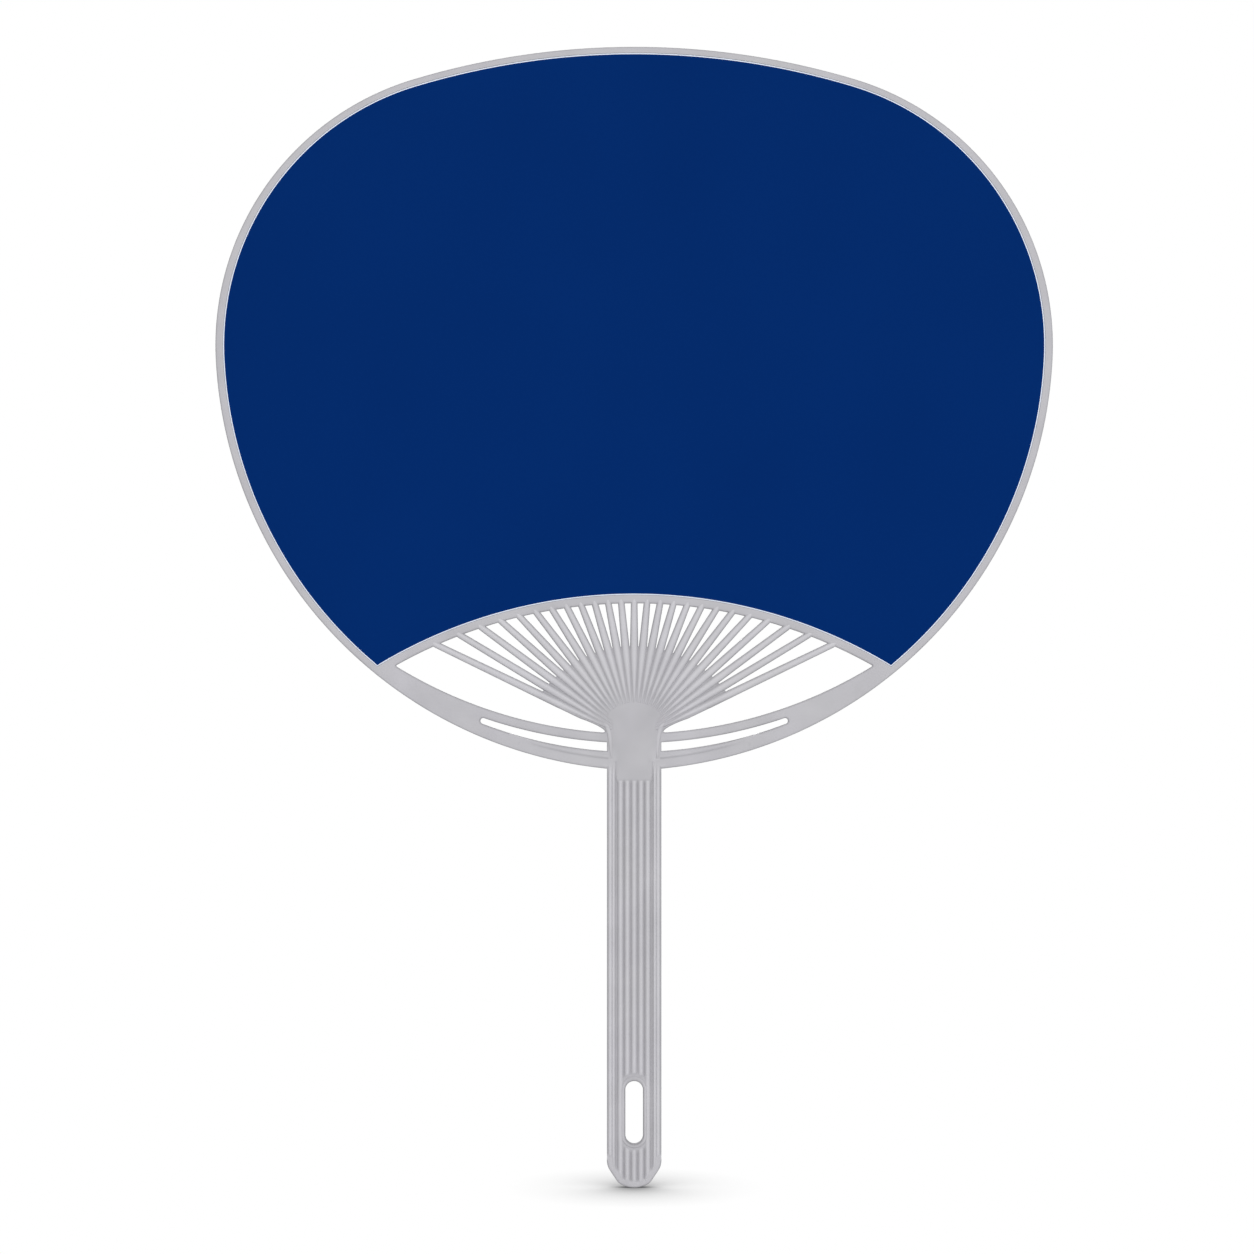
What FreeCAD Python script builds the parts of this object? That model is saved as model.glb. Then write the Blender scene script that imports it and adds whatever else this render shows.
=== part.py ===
import FreeCAD, Part
import math
import os

# Plastic-framed uchiwa fan, in millimetres. It stands upright on the tip of its handle: X runs across
# the head, Z runs up the handle, and the front faces -Y. Front and back are alike.

# Overall sizes
HANDLE_LENGTH = 123.0  # from the tip up to the foot of the bow arms
HEAD_HEIGHT = 212.0  # from the foot of the bow arms up
HEAD_WIDTH = 246.0

# Head outline: three arcs a side that run into each other
TOP_RADIUS = 225.0
WIDEST_SHARE = 0.5866  # how far up the head its widest place lies
SHOULDER_DIP = 2.82  # degrees that the shoulder runs on below the widest place

# Rim and cross band
FRAME_THICKNESS = 2.2
EDGE_BEVEL = 0.5
RIM_WIDTH = 2.4
LEDGE_WIDTH = 2.0  # seat for the edge of a sheet, inside the rim and above the band
BAND_CURVE = 146.0
BAND_RISE = 51.3  # from the foot of the bow arms to the top of the band
BAND_WIDTH = 2.75

# Bow arms: each is two struts with a slit between them that join near its outer end
LOWER_STRUT = 4.9
SLIT_WIDTH = 2.6
UPPER_STRUT = 2.8
LOWER_STRUT_AT_TIP = 3.74  # at the tip of the slit
SLIT_TIP_RADIUS = 0.85
ARM_END_WIDTH = 5.46  # where the arm meets the band
WINDOW_CORNER_RADIUS = 0.8
ARM_LINE_OFFSET = 2.8  # the fine line along an arm, from its outer edge
ARM_LINE_REACH = 40.0
ARM_LINE_RADIUS = 0.5

# Ribs, which spread from one point in the hub
RIB_COUNT = 25
FAN_DROP = 1.9  # the point lies this far below the low edge of the windows
OUTER_WINDOW = 13.65  # along the band, from the corner of the opening to the outermost rib
RIB_ROOT = 6.5  # where a rib starts inside the hub
RIB_DROP = 0.1  # how far a rib lies below the face of the band
RIB_CROWN = 0.45
RIB_TOP_SHARE = 0.5  # how much of a rib's width is flat on top
RIB_WIDTH_AT_WEB = 2.4
RIB_WIDTH_AT_BAND = 1.9
RIB_WIDTH_AT_RIM = 1.4
RIB_RISE_AT_ROOT = 0.05  # how far a rib stands above the web at the hub

# Fluted web, where the ribs run together
WEB_CURVE = 33.9
WEB_REACH = 27.6  # from the point where the ribs meet
WEB_STEP = 0.15  # how far the web lies below the face of the hub
WEB_THICKNESS_AT_EDGE = 1.3
WINDOW_TIP_RADIUS = 0.6
WINDOW_TIP_OVERLAP = 0.15  # how far the rounded tip runs into the rib and the arm

# Hub
HUB_SHOULDER = 4.54  # where the dome starts, above the low edge of the windows
HUB_RISE = 4.56
HUB_STEP = 0.35  # how far the hub lies below the face of the rails

# Handle
HANDLE_WIDTH = 16.0
HANDLE_THICKNESS = 3.8
HANDLE_ROUND = 0.6
TIP_SHOULDER = 6.8
TIP_WIDTH = 9.6
TIP_RISE = 1.1
TIP_CORNER_RADIUS = 2.5
RAIL_WIDTH = 2.4
RAIL_END = 2.8  # how far the rails run up past the foot of the bow arms
RAIL_LINE_OFFSET = 1.4
RAIL_LINE_DEPTH = 0.15
RAIL_LINE_RADIUS = 0.4
PANEL_END = 3.4  # how far below the foot of the bow arms the ridges stop
PANEL_BOTTOM = 2.0
PANEL_DEPTH = 0.65
RIDGE_COUNT = 5
RIDGE_EDGE_GAP = 1.6  # from the side of a rail to the middle of the nearest ridge
RIDGE_RADIUS = 0.9
RIDGE_RISE = 0.4

# Hang slot near the tip
SLOT_WIDTH = 5.3
SLOT_LENGTH = 18.5
SLOT_HEIGHT = 22.2
SLOT_BORDER = 1.4

# Sheets and the glue under them
SHEET_THICKNESS = 0.25
SHEET_SUNK = 0.2  # how far a sheet lies below the face of the rim
SHEET_CLEARANCE = 0.1
GLUE_THICKNESS = 0.05
GLUE_INSET = 0.5

Y_AXIS = FreeCAD.Vector(0, 1, 0)
Z_AXIS = FreeCAD.Vector(0, 0, 1)
THROUGH = 2 * HANDLE_THICKNESS  # cuts this far from the middle plane go right through


def at(x, z, y=0.0):
    return FreeCAD.Vector(x, y, z)


def polar(centre, radius, angle):
    """The point at an angle from straight up, positive towards +X."""
    return (centre[0] + radius * math.sin(angle), centre[1] + radius * math.cos(angle))


def heading(origin, target):
    """The angle from straight up, towards +X, under which the target is seen."""
    return math.atan2(target[0] - origin[0], target[1] - origin[1])


def circles_meet(centre_a, radius_a, centre_b, radius_b, side):
    """The crossing of two circles to the right (side 1) or left (side -1) of the way from a to b."""
    gap = math.dist(centre_a, centre_b)
    along = (radius_a ** 2 - radius_b ** 2 + gap ** 2) / (2 * gap)
    turn = heading(centre_a, centre_b) + side * math.acos(along / radius_a)
    return polar(centre_a, radius_a, turn)


def radius_between(start, turn, end):
    """The radius of the arc that leaves a point square to a direction and runs through another point."""
    gap = (start[0] - end[0], start[1] - end[1])
    return (gap[0] ** 2 + gap[1] ** 2) / (2 * (gap[0] * math.sin(turn) + gap[1] * math.cos(turn)))


# Heights and levels that the dimensions above lead to
TOTAL_HEIGHT = HANDLE_LENGTH + HEAD_HEIGHT
WIDEST_HEIGHT = HANDLE_LENGTH + WIDEST_SHARE * HEAD_HEIGHT
WINDOW_LOW = HANDLE_LENGTH + LOWER_STRUT + SLIT_WIDTH + UPPER_STRUT
HUB_SHOULDER_HEIGHT = WINDOW_LOW + HUB_SHOULDER
HANDLE_TOP = HANDLE_LENGTH + RAIL_END
PANEL_TOP = HANDLE_LENGTH - PANEL_END
HANDLE_SIDE = HANDLE_WIDTH / 2
HANDLE_HALF = HANDLE_THICKNESS / 2
HUB_HALF = HANDLE_HALF - HUB_STEP
WEB_HALF = HUB_HALF - WEB_STEP
FRAME_HALF = FRAME_THICKNESS / 2
CORE_HALF = FRAME_HALF - SHEET_SUNK - SHEET_THICKNESS - GLUE_THICKNESS  # of the ribs under the sheets

# Outline of the head
HEAD_SIDE = HEAD_WIDTH / 2
TOP_RISE = TOTAL_HEIGHT - WIDEST_HEIGHT
TOP_CENTRE = (0.0, TOTAL_HEIGHT - TOP_RADIUS)
SHOULDER_ROOM = 2 * TOP_RADIUS * TOP_RISE - TOP_RISE ** 2 - HEAD_SIDE ** 2
SHOULDER_RADIUS = SHOULDER_ROOM / (2 * (TOP_RADIUS - HEAD_SIDE))
SHOULDER_CENTRE = (HEAD_SIDE - SHOULDER_RADIUS, WIDEST_HEIGHT)
TOP_TURN = heading(TOP_CENTRE, SHOULDER_CENTRE)
FOOT = (HANDLE_SIDE, HANDLE_LENGTH)
FLANK_TURN = math.radians(90 + SHOULDER_DIP)
FLANK_START = polar(SHOULDER_CENTRE, SHOULDER_RADIUS, FLANK_TURN)
FLANK_RADIUS = radius_between(FLANK_START, FLANK_TURN, FOOT)
FLANK_CENTRE = polar(FLANK_START, -FLANK_RADIUS, FLANK_TURN)

# Band, windows and ribs inside the outline
BAND_CENTRE = (0.0, HANDLE_LENGTH + BAND_RISE - BAND_CURVE)
BAND_LOW_CURVE = BAND_CURVE - BAND_WIDTH
CORNER = circles_meet(FLANK_CENTRE, FLANK_RADIUS - ARM_END_WIDTH, BAND_CENTRE, BAND_LOW_CURVE, -1)
WINDOW_CURVE = radius_between((0.0, WINDOW_LOW), math.pi, CORNER)
WINDOW_CENTRE = (0.0, WINDOW_LOW + WINDOW_CURVE)
FAN_CENTRE = WINDOW_LOW - FAN_DROP
FAN_POINT = (0.0, FAN_CENTRE)
OUTER_RIB_TURN = heading(BAND_CENTRE, CORNER) - OUTER_WINDOW / BAND_LOW_CURVE
OUTER_RIB_END = polar(BAND_CENTRE, BAND_LOW_CURVE, OUTER_RIB_TURN)
OUTER_RIB_ANGLE = heading(FAN_POINT, OUTER_RIB_END)
RIB_STEP = 2 * OUTER_RIB_ANGLE / (RIB_COUNT - 1)
RIB_THICKNESS = FRAME_THICKNESS - 2 * RIB_DROP
WEB_CENTRE = (0.0, FAN_CENTRE + WEB_REACH - WEB_CURVE)


def arc(centre, radius, start, end):
    points = [at(*polar(centre, radius, start + (end - start) * part)) for part in (0.0, 0.5, 1.0)]
    return Part.Arc(*points).toShape()


def line(start, end):
    return Part.makeLine(at(*start), at(*end))


def mirrored(shape):
    return shape.mirror(at(0, 0), FreeCAD.Vector(1, 0, 0))


def plate(edges, low, high):
    """A flat plate between two levels of Y, from a closed run of edges in the XZ plane."""
    face = Part.Face(Part.Wire(Part.__sortEdges__(edges)))
    face.translate(FreeCAD.Vector(0, low, 0))
    return face.extrude(FreeCAD.Vector(0, high - low, 0))


def both_faces(shape):
    """The shape and its copy on the other side of the middle plane."""
    return [shape, shape.mirror(at(0, 0), Y_AXIS)]


def rounded(solid, radius, wanted):
    """The solid with the wanted edges rounded off."""
    return solid.makeFillet(radius, [edge for edge in solid.Edges if wanted(edge)])


def bevelled(solid, size, wanted):
    """The solid with the wanted edges bevelled."""
    return solid.makeChamfer(size, [edge for edge in solid.Edges if wanted(edge)])


def lies_flat(edge):
    """True for an edge in a front or back face."""
    box = edge.BoundBox
    return box.YLength < 1e-6


def flank_end(inset, radius):
    """Where the inset flank meets a circle about the band's centre."""
    return circles_meet(FLANK_CENTRE, FLANK_RADIUS - inset, BAND_CENTRE, radius, -1)


def head_arcs(inset, flank_finish):
    """The arcs of the outline, set in by a distance, down both sides to the end of the flanks."""
    finish = heading(FLANK_CENTRE, flank_finish) % (2 * math.pi)  # a flank may end beyond its lowest place
    right = [
        arc(SHOULDER_CENTRE, SHOULDER_RADIUS - inset, TOP_TURN, FLANK_TURN),
        arc(FLANK_CENTRE, FLANK_RADIUS - inset, FLANK_TURN, finish),
    ]
    top = arc(TOP_CENTRE, TOP_RADIUS - inset, -TOP_TURN, TOP_TURN)
    return [top] + right + [mirrored(edge) for edge in right]


def sheet_outline(inset, radius):
    """The closed outline of a sheet: inset from the rim, and cut along a circle above the band."""
    corner = flank_end(inset, radius)
    turn = heading(BAND_CENTRE, corner)
    return head_arcs(inset, corner) + [arc(BAND_CENTRE, radius, -turn, turn)]


def fan_opening():
    """The lens between the arms and the band, through which the ribs show."""
    arm_inner = WINDOW_CURVE - WINDOW_CORNER_RADIUS
    band_inner = BAND_LOW_CURVE - WINDOW_CORNER_RADIUS
    corner = circles_meet(WINDOW_CENTRE, arm_inner, BAND_CENTRE, band_inner, -1)
    band_turn = heading(BAND_CENTRE, corner)
    arm_turn = heading(WINDOW_CENTRE, corner)
    corner_arc = arc(corner, WINDOW_CORNER_RADIUS, band_turn, arm_turn)
    edges = [
        arc(BAND_CENTRE, BAND_LOW_CURVE, -band_turn, band_turn),
        corner_arc,
        arc(WINDOW_CENTRE, WINDOW_CURVE, arm_turn, 2 * math.pi - arm_turn),
        mirrored(corner_arc),
    ]
    return plate(edges, -THROUGH, THROUGH)


def slit_arcs():
    """The upper edge, the tip and the lower edge of the right arm's slit, each as a centre and a radius."""
    high = WINDOW_CURVE + UPPER_STRUT
    under_strut = high + SLIT_TIP_RADIUS
    over_strut = FLANK_RADIUS - LOWER_STRUT_AT_TIP - SLIT_TIP_RADIUS
    tip = circles_meet(WINDOW_CENTRE, under_strut, FLANK_CENTRE, over_strut, -1)
    low = HANDLE_LENGTH + LOWER_STRUT
    rise = tip[1] - low
    low_radius = (tip[0] ** 2 + rise ** 2 - SLIT_TIP_RADIUS ** 2) / (2 * (rise - SLIT_TIP_RADIUS))
    return (WINDOW_CENTRE, high), (tip, SLIT_TIP_RADIUS), ((0.0, low + low_radius), low_radius)


def arm_slit():
    """The long slit between the two struts of the right bow arm, from inside the hub to a rounded tip."""
    high, tip, low = slit_arcs()
    high_turn = heading(high[0], tip[0])
    low_turn = heading(low[0], tip[0])
    inner = HANDLE_SIDE / 2
    high_start = math.pi - math.asin(inner / high[1])
    low_start = math.pi - math.asin(inner / low[1])
    edges = [
        arc(*high, high_start, high_turn),
        arc(*tip, high_turn - math.pi, low_turn),
        arc(*low, low_turn, low_start),
        line(polar(*low, low_start), polar(*high, high_start)),
    ]
    return plate(edges, -THROUGH, THROUGH)


def arm_line():
    """The fine line pressed into the front of the right arm, along its outer edge."""
    radius = FLANK_RADIUS - ARM_LINE_OFFSET
    start = math.pi - math.asin((HANDLE_SIDE - FLANK_CENTRE[0]) / radius)
    end = math.pi - math.asin((ARM_LINE_REACH - FLANK_CENTRE[0]) / radius)
    middle = at(*polar(FLANK_CENTRE, radius, start), RAIL_LINE_DEPTH - FRAME_HALF - ARM_LINE_RADIUS)
    way = FreeCAD.Vector(-math.cos(start), 0, math.sin(start))
    ring = Part.Wire(Part.makeCircle(ARM_LINE_RADIUS, middle, way))
    return Part.Face(ring).revolve(at(*FLANK_CENTRE), Y_AXIS, math.degrees(end - start))


def head_frame():
    """Rim, band and bow arms, with seats for the sheets and nothing inside the openings yet."""
    inner = HANDLE_SIDE / 2
    turn = math.pi - math.asin((inner - FLANK_CENTRE[0]) / FLANK_RADIUS)
    root = polar(FLANK_CENTRE, FLANK_RADIUS, turn)
    inside = (inner, HANDLE_LENGTH + LOWER_STRUT / 2)
    side = line(root, inside)
    across = line(inside, (-inner, inside[1]))
    frame = plate(head_arcs(0.0, root) + [side, across, mirrored(side)], -FRAME_HALF, FRAME_HALF)
    rims = [TOP_RADIUS, SHOULDER_RADIUS, FLANK_RADIUS]
    frame = bevelled(frame, EDGE_BEVEL, lambda edge: lies_flat(edge) and is_arc_of(edge, rims))
    openings = [fan_opening(), arm_slit(), mirrored(arm_slit())]
    frame = frame.cut(openings)
    edges = [WINDOW_CURVE, BAND_LOW_CURVE, WINDOW_CORNER_RADIUS] + [radius for centre, radius in slit_arcs()]
    frame = bevelled(frame, EDGE_BEVEL, lambda edge: lies_flat(edge) and is_arc_of(edge, edges))
    seat = plate(sheet_outline(RIM_WIDTH, BAND_CURVE), CORE_HALF, THROUGH)
    hollow = plate(sheet_outline(RIM_WIDTH + LEDGE_WIDTH, BAND_CURVE + LEDGE_WIDTH), -THROUGH, THROUGH)
    lines = both_faces(arm_line())
    lines = lines + [mirrored(each) for each in lines]
    return frame.cut(both_faces(seat) + [hollow] + lines)


def is_arc_of(edge, radii):
    """True for a circular edge with one of the radii."""
    return hasattr(edge.Curve, "Radius") and any(abs(edge.Curve.Radius - radius) < 1e-6 for radius in radii)


def rib_reach(angle, inset):
    """How far from the fan's centre a rib meets the outline, set in by a distance."""
    parts = [
        (TOP_CENTRE, TOP_RADIUS, TOP_TURN),
        (SHOULDER_CENTRE, SHOULDER_RADIUS, FLANK_TURN),
        (FLANK_CENTRE, FLANK_RADIUS, math.pi),
    ]
    for centre, radius, end in parts:
        if abs(angle) <= heading(FAN_POINT, polar(centre, radius - inset, end)):
            break
    return ray_to_circle(abs(angle), centre, radius - inset)


def ray_to_circle(angle, centre, radius):
    """How far a ray from the fan's centre runs to leave a circle."""
    across = (centre[0] - FAN_POINT[0]) * math.cos(angle) - (centre[1] - FAN_POINT[1]) * math.sin(angle)
    along = (centre[0] - FAN_POINT[0]) * math.sin(angle) + (centre[1] - FAN_POINT[1]) * math.cos(angle)
    return along + math.sqrt(radius ** 2 - across ** 2)


def rib_section(reach, width, thickness, crown):
    """Cross-section of an upright rib at a distance from the fan's centre, crowned front and back."""
    side = width / 2
    flat = side * RIB_TOP_SHARE
    top = thickness / 2
    edge = top - crown
    height = FAN_CENTRE + reach
    right = [at(flat, height, -top), at(side, height, -edge)]
    front = [at(-point.x, height, point.y) for point in reversed(right)] + right
    back = [at(point.x, height, -point.y) for point in reversed(front)]
    return Part.makePolygon(front + back + front[:1])


def core_section(reach, width):
    """Cross-section of the flat part of an upright rib, under the sheets."""
    side = width / 2
    height = FAN_CENTRE + reach
    left = [at(-side, height, -CORE_HALF), at(-side, height, CORE_HALF)]
    right = [at(side, height, CORE_HALF), at(side, height, -CORE_HALF)]
    return Part.makePolygon(left + right + left[:1])


def rib(angle):
    """One rib: crowned from the hub to the band, then flat and hidden up to the rim."""
    rise = 2 * RIB_RISE_AT_ROOT
    web = ray_to_circle(angle, WEB_CENTRE, WEB_CURVE)
    band = ray_to_circle(angle, BAND_CENTRE, BAND_CURVE - BAND_WIDTH / 2)
    rim = rib_reach(angle, RIM_WIDTH + LEDGE_WIDTH / 2)
    crowned = Part.makeLoft([
        rib_section(RIB_ROOT, RIB_STEP * RIB_ROOT, 2 * WEB_HALF + rise, rise),
        rib_section(web, RIB_WIDTH_AT_WEB, RIB_THICKNESS, RIB_CROWN),
        rib_section(band, RIB_WIDTH_AT_BAND, RIB_THICKNESS, RIB_CROWN),
    ], True, True)
    flat = Part.makeLoft([
        core_section(band, RIB_WIDTH_AT_BAND),
        core_section(rim, RIB_WIDTH_AT_RIM),
    ], True, True)
    for part in (crowned, flat):
        part.rotate(at(*FAN_POINT), Y_AXIS, math.degrees(angle))
    return [crowned, flat]


def outer_rib_edge():
    """A point on the lower edge of the right outermost rib, with the way along it and the way off it."""
    way = (math.sin(OUTER_RIB_ANGLE), math.cos(OUTER_RIB_ANGLE))
    off = (way[1], -way[0])
    point = (off[0] * RIB_WIDTH_AT_WEB / 2, FAN_CENTRE + off[1] * RIB_WIDTH_AT_WEB / 2)
    return point, way, off


def along_to_circle(point, way, centre, radius):
    """How far a straight line runs from a point to leave a circle."""
    offset = (point[0] - centre[0], point[1] - centre[1])
    half = offset[0] * way[0] + offset[1] * way[1]
    return -half + math.sqrt(half ** 2 - (offset[0] ** 2 + offset[1] ** 2 - radius ** 2))


def fluted_web():
    """The plate that joins the ribs, thick at the hub and thin at its rounded outer edge."""
    point, way, off = outer_rib_edge()
    run = along_to_circle(point, way, WEB_CENTRE, WEB_CURVE)
    outer = (point[0] + way[0] * run, point[1] + way[1] * run)
    turn = heading(WEB_CENTRE, outer)
    edges = [
        arc(WEB_CENTRE, WEB_CURVE, -turn, turn),
        line(outer, point),
        line(point, (-point[0], point[1])),
        line((-point[0], point[1]), (-outer[0], outer[1])),
    ]
    reach = math.dist(FAN_POINT, outer)
    edge = WEB_THICKNESS_AT_EDGE / 2
    profile = Part.makePolygon([
        at(0, FAN_CENTRE, -WEB_HALF),
        at(0, FAN_CENTRE, WEB_HALF),
        at(HANDLE_SIDE, FAN_CENTRE, WEB_HALF),
        at(reach, FAN_CENTRE, edge),
        at(reach, FAN_CENTRE, -edge),
        at(HANDLE_SIDE, FAN_CENTRE, -WEB_HALF),
        at(0, FAN_CENTRE, -WEB_HALF),
    ])
    dish = Part.Face(profile).revolve(at(*FAN_POINT), Y_AXIS, 360)
    return dish.common(plate(edges, -THROUGH, THROUGH))


def window_tip():
    """Fills the sharp inner end of the right window up to a rounded tip."""
    point, way, off = outer_rib_edge()
    start = (point[0] + off[0] * WINDOW_TIP_RADIUS, point[1] + off[1] * WINDOW_TIP_RADIUS)
    offset = (start[0] - WINDOW_CENTRE[0], start[1] - WINDOW_CENTRE[1])
    half = offset[0] * way[0] + offset[1] * way[1]
    square = offset[0] ** 2 + offset[1] ** 2 - (WINDOW_CURVE - WINDOW_TIP_RADIUS) ** 2
    run = -half - math.sqrt(half ** 2 - square)
    centre = (start[0] + way[0] * run, start[1] + way[1] * run)
    bite = WINDOW_TIP_RADIUS + WINDOW_TIP_OVERLAP
    rib_turn = heading((0, 0), (-off[0], -off[1]))
    arm_turn = heading(WINDOW_CENTRE, centre) - 2 * math.pi
    strut_middle = (HANDLE_SIDE / 2, WINDOW_LOW - UPPER_STRUT / 2)
    web_middle = (HANDLE_SIDE / 2, centre[1] + UPPER_STRUT)
    edges = [
        line(web_middle, polar(centre, bite, rib_turn)),
        arc(centre, bite, rib_turn, arm_turn),
        line(polar(centre, bite, arm_turn), strut_middle),
        line(strut_middle, web_middle),
    ]
    half = FRAME_HALF - EDGE_BEVEL / 2
    return plate(edges, -half, half)


def hub():
    """Smooth hub with a domed top, from which the ribs spread."""
    shoulder = (HANDLE_SIDE, HUB_SHOULDER_HEIGHT)
    foot = (HANDLE_SIDE, PANEL_TOP - RAIL_WIDTH)
    top = (0.0, HUB_SHOULDER_HEIGHT + HUB_RISE)
    radius = radius_between(top, 0.0, shoulder)
    centre = (0.0, top[1] - radius)
    turn = heading(centre, shoulder)
    edges = [
        arc(centre, radius, -turn, turn),
        line(shoulder, foot),
        line(foot, (-foot[0], foot[1])),
        line((-foot[0], foot[1]), (-shoulder[0], shoulder[1])),
    ]
    return bevelled(plate(edges, -HUB_HALF, HUB_HALF), EDGE_BEVEL, lies_flat)


def handle_outline(inset, bottom, top):
    """The closed outline of the handle, set in from its sides and cut off at a bottom and a top."""
    side = HANDLE_SIDE - inset
    slope = (HANDLE_SIDE - TIP_WIDTH / 2) / (TIP_SHOULDER - TIP_RISE)
    low = bottom + TIP_RISE
    tip = TIP_WIDTH / 2 - inset / 2
    shoulder = low + (side - tip) / slope
    right = [line((side, top), (side, shoulder)), line((side, shoulder), (tip, low))]
    base = Part.Arc(at(tip, low), at(0, bottom), at(-tip, low)).toShape()
    return right + [base] + [mirrored(edge) for edge in right] + [line((-side, top), (side, top))]


def slot_outline(border):
    """The closed outline of the hang slot, grown by a border."""
    side = SLOT_WIDTH / 2 + border
    reach = (SLOT_LENGTH - SLOT_WIDTH) / 2
    high = (0.0, SLOT_HEIGHT + reach)
    low = (0.0, SLOT_HEIGHT - reach)
    return [
        arc(high, side, -math.pi / 2, math.pi / 2),
        line((side, high[1]), (side, low[1])),
        arc(low, side, math.pi / 2, 3 * math.pi / 2),
        line((-side, low[1]), (-side, high[1])),
    ]


def is_tip_corner(edge):
    """True for an upright edge at the corners of the handle's tip."""
    box = edge.BoundBox
    return box.YLength > HANDLE_HALF and box.ZMax < HANDLE_TOP / 2


def ridges():
    """The ridges of the panel, on both faces of the handle."""
    room = HANDLE_SIDE - RAIL_WIDTH - RIDGE_EDGE_GAP
    pitch = 2 * room / (RIDGE_COUNT - 1)
    middle = HANDLE_HALF - PANEL_DEPTH + RIDGE_RISE - RIDGE_RADIUS
    bars = []
    for number in range(RIDGE_COUNT):
        foot = at(number * pitch - room, PANEL_BOTTOM, middle)
        bar = Part.makeCylinder(RIDGE_RADIUS, PANEL_TOP - PANEL_BOTTOM, foot, Z_AXIS)
        bars = bars + both_faces(bar)
    return bars


def rail_line():
    """The fine line pressed into the back of the right rail."""
    level = HANDLE_HALF + RAIL_LINE_RADIUS - RAIL_LINE_DEPTH
    foot = at(HANDLE_SIDE - RAIL_LINE_OFFSET, TIP_SHOULDER, level)
    return Part.makeCylinder(RAIL_LINE_RADIUS, HANDLE_TOP, foot, Z_AXIS)


def handle():
    """Flat handle with raised rails, a sunk panel of ridges on each face, and the hang slot."""
    floor = HANDLE_HALF - PANEL_DEPTH
    ring = floor + RIDGE_RISE
    bar = plate(handle_outline(0.0, 0.0, HANDLE_TOP), -HANDLE_HALF, HANDLE_HALF)
    bar = rounded(bar, TIP_CORNER_RADIUS, is_tip_corner)
    bar = rounded(bar, HANDLE_ROUND, lies_flat)
    panel = plate(handle_outline(RAIL_WIDTH, PANEL_BOTTOM, HANDLE_TOP + RAIL_WIDTH), floor, THROUGH)
    bar = bar.cut(both_faces(panel) + both_faces(rail_line()) + both_faces(mirrored(rail_line())))
    bar = bar.fuse(ridges() + [plate(slot_outline(SLOT_BORDER), -ring, ring)])
    return bar.cut(plate(slot_outline(0.0), -THROUGH, THROUGH))


def skeleton():
    """The whole moulding: frame, handle, hub, web and ribs in one piece of plastic."""
    members = [handle(), hub(), fluted_web(), window_tip(), mirrored(window_tip())]
    for number in range(RIB_COUNT):
        members = members + rib((number - (RIB_COUNT - 1) / 2) * RIB_STEP)
    return head_frame().fuse(members).removeSplitter()


def sheet(side):
    """One die-cut sheet, on the front (side -1) or the back (side 1)."""
    inner = side * (CORE_HALF + GLUE_THICKNESS)
    outer = inner + side * SHEET_THICKNESS
    return plate(sheet_outline(RIM_WIDTH + SHEET_CLEARANCE, BAND_CURVE + SHEET_CLEARANCE), inner, outer)


def glue(side):
    """The coat of glue that holds a sheet to the ribs and the ledge."""
    inner = side * CORE_HALF
    outer = inner + side * GLUE_THICKNESS
    inset = SHEET_CLEARANCE + GLUE_INSET
    return plate(sheet_outline(RIM_WIDTH + inset, BAND_CURVE + inset), inner, outer)


os.makedirs("parts", exist_ok=True)
skeleton().exportStep("parts/skeleton.step")
glue(-1).exportStep("parts/front_glue.step")
sheet(-1).exportStep("parts/front_sheet.step")
glue(1).exportStep("parts/back_glue.step")
sheet(1).exportStep("parts/back_sheet.step")
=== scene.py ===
import bmesh
import bpy
import math
import numpy as np
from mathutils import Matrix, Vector
from mathutils.geometry import tessellate_polygon


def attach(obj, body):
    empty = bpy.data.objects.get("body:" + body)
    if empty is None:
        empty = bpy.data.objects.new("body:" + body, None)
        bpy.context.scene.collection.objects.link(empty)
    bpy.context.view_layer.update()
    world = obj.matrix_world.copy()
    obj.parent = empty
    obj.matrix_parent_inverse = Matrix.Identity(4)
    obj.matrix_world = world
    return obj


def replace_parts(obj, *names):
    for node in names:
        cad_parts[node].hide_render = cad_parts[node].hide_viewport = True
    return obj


# A plastic-framed uchiwa fan: one milky moulding with two dark blue sheets glued to it.
# Shapes are worked out in millimetres in the part's frame: X across, Z up, the front faces -Y.
# A HALF is half a thickness and a SIDE half a width. A pair of numbers is a range over which a form changes,
# unless its heading says otherwise.
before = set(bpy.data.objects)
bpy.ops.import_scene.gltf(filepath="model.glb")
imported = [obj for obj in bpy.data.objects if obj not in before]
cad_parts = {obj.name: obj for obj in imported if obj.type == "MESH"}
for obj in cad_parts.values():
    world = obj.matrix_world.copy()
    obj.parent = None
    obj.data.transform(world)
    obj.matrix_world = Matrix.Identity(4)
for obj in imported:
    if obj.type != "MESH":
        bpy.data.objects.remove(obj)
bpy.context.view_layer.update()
MM = 0.001

# Handle and head, a hair inside the CAD's box; the shoulder's dip is in degrees
BOX_GAP = 0.02
HANDLE_LENGTH = 123.0
HANDLE_SIDE = 8.0
HANDLE_EDGE = HANDLE_SIDE - BOX_GAP / 2
HEAD_HEIGHT = 212.0
HEAD_WIDTH = 246.0
HEAD_SIDE = HEAD_WIDTH / 2 - BOX_GAP
TOP_RADIUS = 225.0
WIDEST_SHARE = 0.5866
SHOULDER_DIP = 2.82
FRAME_HALF = 1.1
CORE_HALF = 0.6

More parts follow.
